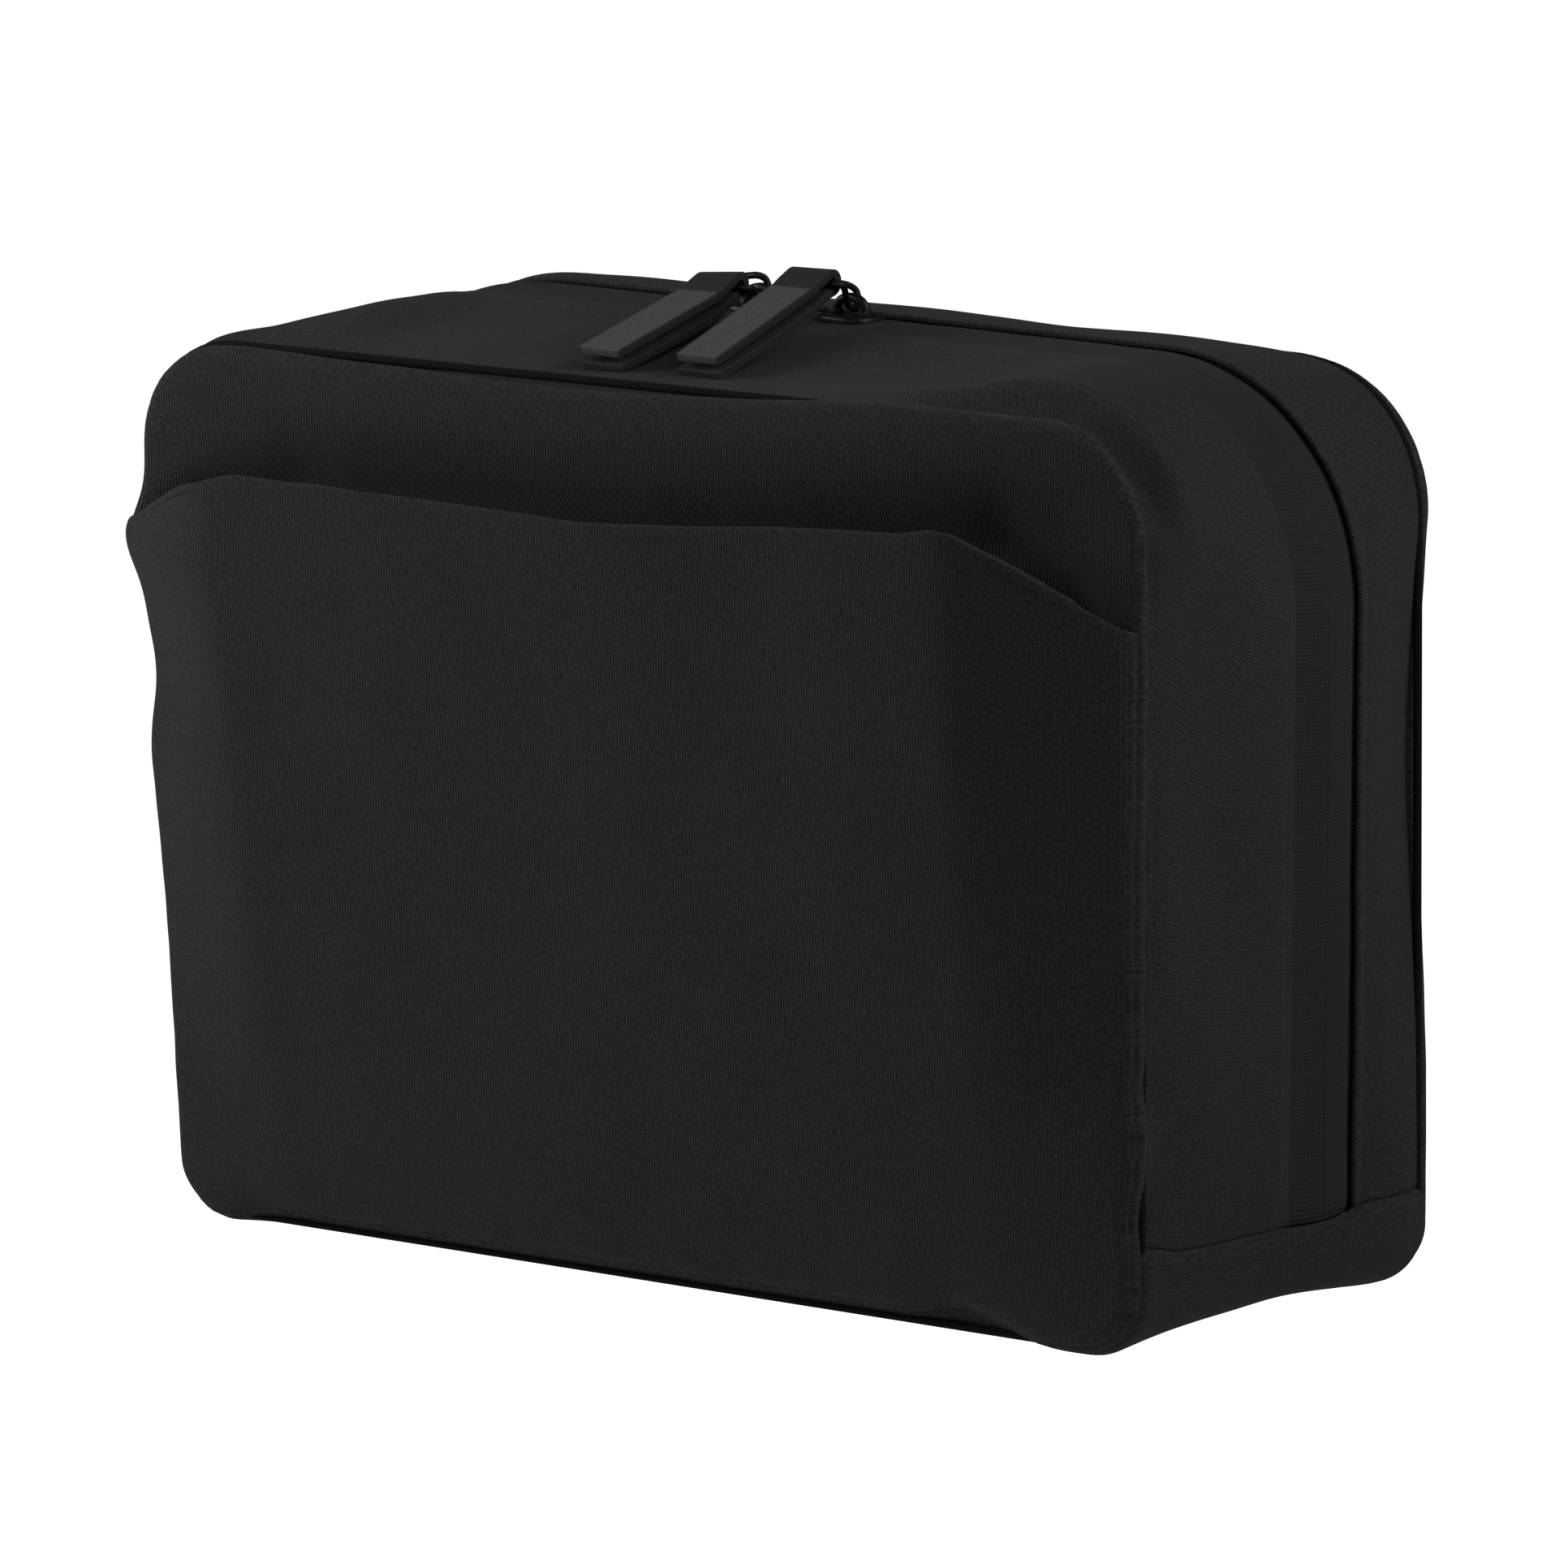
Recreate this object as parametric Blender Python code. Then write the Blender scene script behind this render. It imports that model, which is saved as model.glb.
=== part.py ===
"""Cable organizer pouch: a soft zipped clamshell pouch that stands on its bottom gusset.

The front half opens forward on the bottom gusset. The outline is one rounded shape whose size
changes with depth, and every band and panel is cut from it. Sizes are in millimetres, and
metres are only used where points go into a mesh.
"""

import math

import bmesh
import bpy
from mathutils import Vector

MM = 0.001
GAP = 0.3
CROWN_GAP = 0.9

# The body, by depth from the front seam to the back seam
DEPTH = 81.0
FRONT_Y = -32.95
CENTRE_X = -0.66
RIDGE_DEPTH = 52.2
FRONT_HALF_WIDTH, RIDGE_HALF_WIDTH, BACK_HALF_WIDTH = 108.2, 106.6, 104.6
FRONT_TOP, RIDGE_TOP, BACK_TOP = 150.5, 158.0, 154.5
FRONT_RADIUS, RIDGE_RADIUS, BACK_RADIUS = 19.0, 42.0, 26.0
FOOT_RADIUS = 11.0
SWELL = 2.2
LEFT_LEAN, RIGHT_LEAN = 0.085, 0.012
RIGHT_RISE = 4.0
TOP_DIP = 3.4
DIP_LEFT, DIP_RIGHT, DIP_EDGE = -79.0, 73.0, 18.0

# Cloth and board thicknesses
SHELL = 1.5
FOAM = 3.0
LINING = 0.8
POCKET_CLOTH = 1.3
MESH_CLOTH = 1.0

# The panels and the outside pocket
FRONT_CROWN, BACK_CROWN = 7.0, 3.8
POCKET_BULGE = 16.9
POCKET_SHOULDER = 29.0
MOUTH_Z, MOUTH_END_Z = 132.0, 119.0
HEM_HEIGHT = 10.0

# What holds cables inside
POCKET_FOOT = 16.0
LID_POCKET_HALF, LID_POCKET_MOUTH, LID_POCKET_STAND = 90.0, 92.0, 10.0
ORGANIZER_HALF, ORGANIZER_MOUTH, ORGANIZER_STAND = 88.0, 74.0, 9.0
LOOP_COUNT, LOOP_PITCH = 5, 34.0
LOOP_FOOT, LOOP_TALL, LOOP_HEIGHT = 86.0, 22.0, 10.0
ELASTIC = 1.2

# The bands round the sides, by depth
BAND_TOP = 16.5
FRONT_GUSSET_END = 44.4
REAR_GUSSET_START = 60.75
TAPE_TUCK = 2.4
TAPE = 0.6
TAPE_INSET = SHELL + GAP
TEETH_GAP = 0.8
COIL_RADIUS = 0.9

# The pulls
LEFT_SLIDER_X, RIGHT_SLIDER_X = -16.0, 3.5
SLIDER_LENGTH, SLIDER_WIDTH = 11.0, 9.0
BRIDGE_Z = 160.9
BRIDGE_SPAN = 6.4
BRIDGE_WIRE = 0.8
RING_WIRE = 0.6
RING_REACH = 11.2
RING_LIFTS = {"left": 8.0, "right": 20.0}
RING_HALF_WIDTH = 5.6
STRAP_WIDTH = 9.0
STRAP_CLOTH = 1.4
STRAP_FIRST, STRAP_REST = 5.5, 26.5
STRAP_FIRST_SLOPE, STRAP_REST_SLOPE = 24.0, 14.0

FABRIC = (0.0185, 0.0185, 0.020)
DARK_FABRIC = (0.0115, 0.0115, 0.0125)
STRAP_COLOR = (0.030, 0.030, 0.032)
ZIP_COLOR = (0.020, 0.020, 0.021)
LINING_COLOR = (0.10, 0.10, 0.11)
MESH_COLOR = (0.035, 0.035, 0.037)
METAL_COLOR = (0.035, 0.035, 0.037)


def smooth(value):
    """Ease from 0 to 1."""
    value = min(1.0, max(0.0, value))
    return value * value * (3 - 2 * value)


def by_depth(front, ridge, back, depth):
    """A size at this depth: it swells from the front seam to the zip and shrinks to the back seam."""
    if depth <= RIDGE_DEPTH:
        share = max(0.0, depth) / RIDGE_DEPTH
        return front + (ridge - front) * (1 - (1 - share) ** SWELL)
    share = min(1.0, (depth - RIDGE_DEPTH) / (DEPTH - RIDGE_DEPTH))
    return ridge + (back - ridge) * share**SWELL


def section(depth, inset=0.0):
    """Half width, top and corner radius of the outline at this depth."""
    half = by_depth(FRONT_HALF_WIDTH, RIDGE_HALF_WIDTH, BACK_HALF_WIDTH, depth) - inset
    top = by_depth(FRONT_TOP, RIDGE_TOP, BACK_TOP, depth) - inset
    radius = by_depth(FRONT_RADIUS, RIDGE_RADIUS, BACK_RADIUS, depth) - inset
    return half, top, radius


def arch(depth, inset=0.0, foot=BAND_TOP + GAP, corner_steps=5):
    """The outline from the left foot over the top to the right foot, as (x, z) points."""
    half, top, radius = section(depth, inset)
    corner = [math.pi / 2 * step / corner_steps for step in range(corner_steps + 1)]
    left = [(-half, foot + (top - radius - foot) * share) for share in (0.0, 0.33, 0.66)]
    left += [(-half + radius * (1 - math.cos(a)), top - radius + radius * math.sin(a)) for a in corner]
    straight = half - radius
    top_run = [(straight * share, top) for share in (-0.66, -0.33, 0.0, 0.33, 0.66)]
    return left + top_run + [(-x, z) for x, z in reversed(left)]


def loop(depth, inset=0.0, corner_steps=5):
    """The closed outline: the arch, and a bottom edge with small corners."""
    half, _, _ = section(depth, inset)
    radius = FOOT_RADIUS - inset
    points = arch(depth, inset, foot=inset + radius + 8, corner_steps=corner_steps)
    right = [
        (half - radius * (1 - math.cos(a)), inset + radius * (1 - math.sin(a)))
        for a in (0.0, math.pi / 6, math.pi / 3, math.pi / 2)
    ]
    return points + right + [(0.0, inset)] + [(-x, z) for x, z in reversed(right)]


def place(x, depth, z):
    """A point of the body in metres: its sides lean, its right shoulder rises, and its top dips."""
    lean = (LEFT_LEAN if x < 0 else RIGHT_LEAN) * max(0.0, 1 - z / RIDGE_TOP)
    share = min(1.0, max(0.0, depth) / RIDGE_DEPTH)
    rise = RIGHT_RISE * smooth((x + 5) / 80) * smooth((z - 50) / 100) * (1 - share) ** 1.5
    spread = smooth((x - DIP_LEFT) / DIP_EDGE) * smooth((DIP_RIGHT - x) / DIP_EDGE)
    along = min(1.0, max(0.0, depth) / FRONT_GUSSET_END)
    dip = TOP_DIP * spread * 4 * along * (1 - along) * smooth((z - 100) / 45)
    return Vector((CENTRE_X + x * (1 - lean), FRONT_Y + depth, z + rise - dip)) * MM


def crown(amount, x, z):
    """How far a panel stands out at this place: all of it in the middle, none at the seam."""
    across = min(1.0, abs(x) / FRONT_HALF_WIDTH)
    height = min(1.0, abs(z - FRONT_TOP / 2) / (FRONT_TOP / 2))
    return amount * (1 - across**2.5) * (1 - height**2.5)


def add_object(name, mesh_builder, material):
    """Make a bmesh into a named object."""
    bmesh.ops.recalc_face_normals(mesh_builder, faces=mesh_builder.faces)
    mesh = bpy.data.meshes.new(name)
    mesh_builder.to_mesh(mesh)
    mesh_builder.free()
    mesh.materials.append(material)
    part = bpy.data.objects.new(name, mesh)
    bpy.context.collection.objects.link(part)
    return part


def make_material(name, color, roughness, metallic=0.0):
    material = bpy.data.materials.new(name)
    material.use_nodes = True
    shader = material.node_tree.nodes["Principled BSDF"]
    shader.inputs["Base Color"].default_value = (*color, 1.0)
    shader.inputs["Roughness"].default_value = roughness
    shader.inputs["Metallic"].default_value = metallic
    material.diffuse_color = (*color, 1.0)
    return material


def grid_faces(mesh_builder, rows, closed=False):
    """Quads between neighbouring rows of vertices."""
    count = len(rows[0])
    for low, high in zip(rows, rows[1:]):
        for i in range(count if closed else count - 1):
            j = (i + 1) % count
            mesh_builder.faces.new((low[i], low[j], high[j], high[i]))


def thicken(mesh_builder, step):
    """Extrude a whole sheet by one step, so that it is a closed solid."""
    grown = bmesh.ops.extrude_face_region(
        mesh_builder, geom=list(mesh_builder.faces), use_keep_orig=True
    )
    verts = [item for item in grown["geom"] if isinstance(item, bmesh.types.BMVert)]
    bmesh.ops.translate(mesh_builder, vec=step, verts=verts)


def band(name, depths, inset, thickness, outline, material):
    """A strip of cloth that follows the outline, between the first depth and the last."""
    mesh_builder = bmesh.new()
    rows = []
    for layer_inset in (inset, inset + thickness):
        layer = []
        for depth in depths:
            layer.append([mesh_builder.verts.new(place(x, depth, z)) for x, z in outline(depth, layer_inset)])
        rows.append(layer)
    outer, inner = rows
    grid_faces(mesh_builder, outer)
    grid_faces(mesh_builder, inner)
    grid_faces(mesh_builder, [outer[0], inner[0]])
    grid_faces(mesh_builder, [outer[-1], inner[-1]])
    for end in (0, -1):
        grid_faces(mesh_builder, [[row[end] for row in outer], [row[end] for row in inner]])
    return add_object(name, mesh_builder, material)


def panel(name, depth, inset, start, thickness, crown_amount, material):
    """A crowned sheet inside the outline. start is its near face's offset from the seam's plane."""
    mesh_builder = bmesh.new()
    points = loop(depth, inset)
    middle = (0.0, FRONT_TOP / 2)
    rows = []
    for scale in (1.0, 0.9, 0.72, 0.48, 0.24):
        row = []
        for x, z in points:
            x, z = middle[0] + (x - middle[0]) * scale, middle[1] + (z - middle[1]) * scale
            row.append(mesh_builder.verts.new(place(x, depth + start + crown(crown_amount, x, z), z)))
        rows.append(row)
    grid_faces(mesh_builder, rows, closed=True)
    mesh_builder.faces.new(rows[-1])
    thicken(mesh_builder, Vector((0, thickness * MM, 0)))
    return add_object(name, mesh_builder, material)


def foot_z(x):
    """Where the outside pocket's bottom edge runs, with the rounded corners of the seam."""
    over = min(FOOT_RADIUS, abs(x) - (FRONT_HALF_WIDTH - FOOT_RADIUS))
    if over <= 0:
        return 0.0
    return FOOT_RADIUS - math.sqrt(FOOT_RADIUS**2 - over**2)


def shoulder(x):
    """1 along the pocket's mouth, falling to 0 at the seams."""
    return min(1.0, max(0.0, FRONT_HALF_WIDTH - abs(x)) / POCKET_SHOULDER)


def mouth_z(x):
    """The outside pocket's top edge: straight, with a chamfer down to each seam."""
    return MOUTH_END_Z + (MOUTH_Z - MOUTH_END_Z) * shoulder(x)


def hem_z(x):
    return mouth_z(x) - HEM_HEIGHT


def pocket_bulge(x, z):
    """How far the outside pocket stands off the seam's plane."""
    bulge = POCKET_BULGE * shoulder(x) * max(0.0, z / MOUTH_Z) ** 0.75
    return max(bulge, crown(FRONT_CROWN, x, z))


def pocket_columns(reach):
    """Where the columns of the outside pocket's sheets stand, across their width."""
    inner = FRONT_HALF_WIDTH - POCKET_SHOULDER
    side = [reach, min(reach, FRONT_HALF_WIDTH - 5), FRONT_HALF_WIDTH - 18, inner, inner * 0.66, inner * 0.33]
    side = sorted(set(side), reverse=True)
    return [-x for x in side] + [0.0] + side[::-1]


def front_pocket_sheet(name, low, start, thickness, reach, material):
    """A sheet that follows the outside pocket: low(x) is its bottom edge, reach its half width."""
    mesh_builder = bmesh.new()
    rows = []
    for x in pocket_columns(reach):
        bottom, top = low(x), mouth_z(x)
        column = []
        for share in (0.0, 0.12, 0.3, 0.5, 0.7, 0.86, 1.0):
            z = bottom + (top - bottom) * share
            column.append(mesh_builder.verts.new(place(x, start - pocket_bulge(x, z), z)))
        rows.append(column)
    grid_faces(mesh_builder, rows)
    thicken(mesh_builder, Vector((0, thickness * MM, 0)))
    return add_object(name, mesh_builder, material)


def inner_pocket(name, depth, start, toward, crown_amount, half, mouth, stand_off, material):
    """A slip pocket sewn to a lining on three sides, open at the top, standing off toward the zip.

    toward is 1 or -1, the way along depth from the lining to the zip."""
    mesh_builder = bmesh.new()
    rows = []
    for across in (-1.0, -0.93, -0.75, -0.4, 0.0, 0.4, 0.75, 0.93, 1.0):
        column = []
        for height in (0.0, 0.2, 0.45, 0.7, 0.88, 1.0):
            x, z = half * across, POCKET_FOOT + (mouth - POCKET_FOOT) * height
            stand = stand_off * smooth((1 - abs(across)) / 0.3) * min(1.0, height / 0.85) ** 0.7
            offset = start + crown(crown_amount, x, z) + toward * stand
            column.append(mesh_builder.verts.new(place(x, depth + offset, z)))
        rows.append(column)
    grid_faces(mesh_builder, rows)
    thicken(mesh_builder, Vector((0, toward * MESH_CLOTH * MM, 0)))
    return add_object(name, mesh_builder, material)


def tube(name, points, radius, material, cyclic=False, resolution=1):
    """A round piece along a list of points in metres."""
    curve = bpy.data.curves.new(name, "CURVE")
    curve.dimensions = "3D"
    curve.bevel_depth = radius * MM
    curve.bevel_resolution = resolution
    curve.use_fill_caps = True
    spline = curve.splines.new("POLY")
    spline.points.add(len(points) - 1)
    for point, place_of_point in zip(spline.points, points):
        point.co = (*place_of_point, 1.0)
    spline.use_cyclic_u = cyclic
    curve.materials.append(material)
    part = bpy.data.objects.new(name, curve)
    bpy.context.collection.objects.link(part)
    return part


def seam_binding(name, depth, material):
    """The bound edge in the corner between a panel and its gusset."""
    points = [place(x, depth, z) for x, z in loop(depth, SHELL + GAP + 1.3)]
    return tube(name, points, 1.0, material, cyclic=True, resolution=0)


def coil(name, depth, material):
    """One row of zip teeth, under the tape's edge."""
    inset = TAPE_INSET + TAPE + 0.2 + COIL_RADIUS
    points = [place(x, depth, z) for x, z in arch(depth, inset)]
    return tube(name, points, COIL_RADIUS, material, resolution=0)


def cable_loop(name, centre_x, material):
    """An elastic loop on the back lining: two flat feet and an arch that a cable passes through."""
    half = [(13.0, 0.0), (9.5, 0.0), (8.5, LOOP_HEIGHT * 0.7), (5.0, LOOP_HEIGHT)]
    shape = [(-x, out) for x, out in half] + half[::-1]
    mesh_builder = bmesh.new()
    rows = []
    for z in (LOOP_FOOT, LOOP_FOOT + LOOP_TALL):
        row = []
        for x, out in shape:
            depth = DEPTH + back_face(centre_x + x, z) - CROWN_GAP - ELASTIC / 2 - out
            row.append(mesh_builder.verts.new(place(centre_x + x, depth, z)))
        rows.append(row)
    grid_faces(mesh_builder, rows)
    part = add_object(name, mesh_builder, material)
    solid = part.modifiers.new("elastic", "SOLIDIFY")
    solid.thickness = ELASTIC * MM
    solid.offset = 0.0
    return part


def back_face(x, z):
    """Offset of the back lining's inner face from the back seam's plane."""
    return crown(BACK_CROWN, x, z) - 2 * GAP - FOAM - LINING


def make_rear_half(materials):
    shell, foam, lining = materials["shell"], materials["foam"], materials["lining"]
    panel("back_panel", DEPTH, 0.0, 0.0, SHELL, BACK_CROWN, shell)
    panel("back_foam", DEPTH, 5.0, -GAP - FOAM, FOAM, BACK_CROWN, foam)
    panel("back_lining", DEPTH, 4.8, -2 * GAP - FOAM - LINING, LINING, BACK_CROWN, lining)
    depths = [REAR_GUSSET_START, 66.0, 71.0, 76.0, DEPTH - GAP]
    band("rear_gusset", depths, 0.0, SHELL, arch, shell)
    start = RIDGE_DEPTH + TEETH_GAP
    depths = [start, (start + REAR_GUSSET_START) / 2, REAR_GUSSET_START + TAPE_TUCK]
    band("rear_zip_tape", depths, TAPE_INSET, TAPE, arch, materials["zip"])
    coil("rear_zip_coil", start + COIL_RADIUS, materials["zip"])
    seam_binding("rear_seam_binding", DEPTH - GAP - 1.2, materials["binding"])
    start = -2 * GAP - FOAM - LINING - CROWN_GAP
    size = ORGANIZER_HALF, ORGANIZER_MOUTH, ORGANIZER_STAND
    inner_pocket("organizer_pocket", DEPTH, start, -1, BACK_CROWN, *size, lining)
    for number in range(LOOP_COUNT):
        centre_x = LOOP_PITCH * (number - (LOOP_COUNT - 1) / 2)
        cable_loop(f"cable_loop_{number + 1}", centre_x, materials["elastic"])
    depths = [GAP, 16.0, 33.0, RIDGE_DEPTH, 66.0, DEPTH - GAP]
    band("bottom_gusset", depths, 0.0, SHELL, bottom_strip, shell)


def bottom_strip(depth, inset):
    """The outline of the bottom strip: up one side, round the foot, and up the other side."""
    half, _, _ = section(depth, inset)
    radius = FOOT_RADIUS - inset
    right = [
        (half - radius * (1 - math.cos(a)), inset + radius * (1 - math.sin(a)))
        for a in (0.0, math.pi / 8, math.pi / 4, 3 * math.pi / 8, math.pi / 2)
    ]
    right = [(half, BAND_TOP)] + right
    return [(-x, z) for x, z in right] + right[::-1]


def make_front_half(materials):
    shell, foam, lining = materials["shell"], materials["foam"], materials["lining"]
    panel("front_panel", 0.0, 0.0, -SHELL, SHELL, -FRONT_CROWN, shell)
    panel("front_foam", 0.0, 5.0, GAP, FOAM, -FRONT_CROWN, foam)
    panel("front_lining", 0.0, 4.8, 2 * GAP + FOAM, LINING, -FRONT_CROWN, lining)
    band("front_gusset", [GAP, 10.0, 21.0, 33.0, FRONT_GUSSET_END], 0.0, SHELL, arch, shell)
    end = RIDGE_DEPTH - TEETH_GAP
    depths = [FRONT_GUSSET_END - TAPE_TUCK, (end + FRONT_GUSSET_END) / 2, end]
    band("front_zip_tape", depths, TAPE_INSET, TAPE, arch, materials["zip"])
    coil("front_zip_coil", end - COIL_RADIUS, materials["zip"])
    seam_binding("front_seam_binding", GAP + 1.2, materials["binding"])
    start = -SHELL - 2 * GAP - POCKET_CLOTH
    front_pocket_sheet("front_pocket", foot_z, start, POCKET_CLOTH, FRONT_HALF_WIDTH, shell)
    start += POCKET_CLOTH + GAP
    reach = FRONT_HALF_WIDTH - 14
    front_pocket_sheet("front_pocket_hem", hem_z, start, LINING, reach, materials["binding"])
    start = 2 * GAP + FOAM + LINING + CROWN_GAP
    size = LID_POCKET_HALF, LID_POCKET_MOUTH, LID_POCKET_STAND
    inner_pocket("lid_pocket", 0.0, start, 1, -FRONT_CROWN, *size, materials["mesh"])
    lid_pocket_binding("lid_pocket_binding", start, materials["binding"])


def lid_pocket_binding(name, start, material):
    """The elastic edge along the mesh pocket's mouth, just above the mesh."""
    points = []
    for across in (-0.93, -0.75, -0.4, 0.0, 0.4, 0.75, 0.93):
        x, z = LID_POCKET_HALF * across, LID_POCKET_MOUTH + GAP + 1.0
        stand = LID_POCKET_STAND * smooth((1 - abs(across)) / 0.3)
        y = start + crown(-FRONT_CROWN, x, z) + max(stand, 1.2) + MESH_CLOTH / 2
        points.append(place(x, y, z))
    return tube(name, points, 1.0, material, resolution=0)


def box(mesh_builder, low, high):
    """Add a block between two corners, in millimetres."""
    made = bmesh.ops.create_cube(mesh_builder, size=1.0)
    size = Vector(high) - Vector(low)
    centre = (Vector(low) + Vector(high)) / 2
    bmesh.ops.scale(mesh_builder, vec=size * MM, verts=made["verts"])
    bmesh.ops.translate(mesh_builder, vec=centre * MM, verts=made["verts"])


def union(part, tools):
    """Join helpers into a part and keep one object."""
    for tool in tools:
        tool.hide_render = True
        tool.hide_set(True)
        joint = part.modifiers.new("join", "BOOLEAN")
        joint.operation = "UNION"
        joint.object = tool


def make_slider(name, centre_x, material):
    """Two plates joined by a neck that runs between the teeth, and the bridge that holds the ring."""
    zip_y = FRONT_Y + RIDGE_DEPTH
    half_length, half_width = SLIDER_LENGTH / 2, SLIDER_WIDTH / 2
    tape_z = RIDGE_TOP - TAPE_INSET
    under_z = tape_z - TAPE - 0.2 - 2 * COIL_RADIUS
    blocks = (
        ((-half_length, -half_width, tape_z + 0.35), (half_length, half_width, RIDGE_TOP + 0.1)),
        ((-1.6, -0.4, under_z - 1.2), (3.4, 0.4, tape_z + 1.2)),
        ((-half_length, -half_width, under_z - 1.6), (half_length, half_width, under_z - 0.35)),
    )
    pieces = []
    for number, (low, high) in enumerate(blocks):
        mesh_builder = bmesh.new()
        offset = Vector((centre_x, zip_y, 0))
        box(mesh_builder, Vector(low) + offset, Vector(high) + offset)
        if number != 1:
            upright = [e for e in mesh_builder.edges if abs(e.verts[0].co.z - e.verts[1].co.z) > 1e-4]
            bmesh.ops.bevel(mesh_builder, geom=upright, offset=2.2 * MM, segments=2, affect="EDGES")
        label = name if number == 0 else f"{name}_part_{number}"
        pieces.append(add_object(label, mesh_builder, material))
    half_bridge = [(1.0, RIDGE_TOP - 0.6), (1.0, BRIDGE_Z - 0.9), (0.72, BRIDGE_Z)]
    legs = []
    for share, z in [(-share, z) for share, z in half_bridge] + half_bridge[::-1]:
        legs.append(Vector((centre_x + share * BRIDGE_SPAN / 2, zip_y, z)) * MM)
    bridge = tube(f"{name}_bridge", legs, BRIDGE_WIRE, material)
    pieces.append(to_mesh(bridge))
    union(pieces[0], pieces[1:])
    return pieces[0]


def to_mesh(part):
    """Turn a curve object into a mesh object, so that a Boolean can use it."""
    mesh = bpy.data.meshes.new_from_object(part.evaluated_get(bpy.context.evaluated_depsgraph_get()))
    name = part.name
    bpy.data.objects.remove(part)
    made = bpy.data.objects.new(name, mesh)
    bpy.context.collection.objects.link(made)
    mesh_builder = bmesh.new()
    mesh_builder.from_mesh(mesh)
    bmesh.ops.remove_doubles(mesh_builder, verts=mesh_builder.verts, dist=1e-6)
    bmesh.ops.recalc_face_normals(mesh_builder, faces=mesh_builder.faces)
    mesh_builder.to_mesh(mesh)
    mesh_builder.free()
    return made


def ring_frame(side):
    """Origin and directions of one side's ring at rest: outward from the bridge, and up from that."""
    lift = math.radians(RING_LIFTS[side])
    origin = Vector((0, FRONT_Y + RIDGE_DEPTH, BRIDGE_Z))
    outward = Vector((0, -math.cos(lift), math.sin(lift)))
    upward = Vector((0, math.sin(lift), math.cos(lift)))
    return origin, outward, upward


def make_pull_ring(side, centre_x, material):
    """A wire loop: a wide bar for the strap, narrowing to an eye that wraps the bridge."""
    origin, outward, upward = ring_frame(side)
    reach, wrap = RING_REACH, BRIDGE_WIRE + RING_WIRE + 0.4
    shape = [
        (-RING_HALF_WIDTH, reach, 0.0),
        (RING_HALF_WIDTH, reach, 0.0),
        (RING_HALF_WIDTH, reach - 1.6, 0.0),
        (1.3, 2.6, -wrap * 0.8),
        (0.8, 0.0, -wrap),
        (0.4, -wrap * 0.75, -wrap * 0.6),
        (0.0, -wrap, 0.0),
        (-0.4, -wrap * 0.75, wrap * 0.6),
        (-0.8, 0.0, wrap),
        (-1.3, 2.6, wrap * 0.8),
        (-RING_HALF_WIDTH, reach - 1.6, 0.0),
    ]
    points = []
    for x, out, up in shape:
        points.append((origin + Vector((centre_x + x, 0, 0)) + outward * out + upward * up) * MM)
    return tube(f"{side}_pull_ring", points, RING_WIRE, material, cyclic=True)


def strap_line():
    """The folded strap's middle line from the top layer's end, round the bar, to the lower layer's end.

    Points are (forward, up) from the bar's centre."""
    turn = RING_WIRE + GAP + STRAP_CLOTH / 2
    first, rest = math.radians(STRAP_FIRST_SLOPE), math.radians(STRAP_REST_SLOPE)
    crease = (STRAP_FIRST * math.cos(first), -STRAP_FIRST * math.sin(first))
    end = (crease[0] + STRAP_REST * math.cos(rest), crease[1] - STRAP_REST * math.sin(rest))
    close = 0.25
    upper = [
        (end[0], end[1] + turn - close),
        (crease[0] + 0.3, crease[1] + turn),
        (0.3, turn),
    ]
    fold = [(-turn * math.sin(a), turn * math.cos(a)) for a in (math.pi * s / 6 for s in (1, 2, 3, 4, 5))]
    lower = [
        (0.0, -turn),
        (crease[0] - 0.3, crease[1] - turn),
        (end[0] - 1.2, end[1] - turn + close + 0.25),
    ]
    return upper + fold + lower


def make_pull_strap(side, centre_x, material):
    """A tube-woven strap folded over the ring's bar, with its two free ends side by side."""
    origin, outward, _ = ring_frame(side)
    bar = origin + outward * RING_REACH
    line = strap_line()
    mesh_builder = bmesh.new()
    rows = []
    for x in (-STRAP_WIDTH / 2, STRAP_WIDTH / 2):
        row = []
        for forward, up in line:
            point = bar + Vector((centre_x + x, -forward, up))
            row.append(mesh_builder.verts.new(point * MM))
        rows.append(row)
    grid_faces(mesh_builder, rows)
    strap = add_object(f"{side}_pull_strap", mesh_builder, material)
    solid = strap.modifiers.new("cloth", "SOLIDIFY")
    solid.thickness = STRAP_CLOTH * MM
    solid.offset = 0.0
    solid.use_even_offset = True
    edge = strap.modifiers.new("edge", "BEVEL")
    edge.width = 0.35 * MM
    edge.segments = 1
    edge.limit_method = "ANGLE"
    edge.angle_limit = math.radians(60)
    return strap


def set_origin(part, point):
    """Put a moving piece's origin on its joint's axis."""
    if part.type == "CURVE":
        part = to_mesh(part)
    for vertex in part.data.vertices:
        vertex.co -= point
    part.location = point


def make_pulls(side, centre_x, materials):
    origin, outward, _ = ring_frame(side)
    across = Vector((centre_x, 0, 0))
    make_slider(f"{side}_slider", centre_x, materials["metal"])
    ring = make_pull_ring(side, centre_x, materials["metal"])
    set_origin(ring, (origin + across) * MM)
    strap = make_pull_strap(side, centre_x, materials["strap"])
    set_origin(strap, (origin + across + outward * RING_REACH) * MM)


def clear_scene():
    for item in list(bpy.data.objects):
        bpy.data.objects.remove(item)


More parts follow.
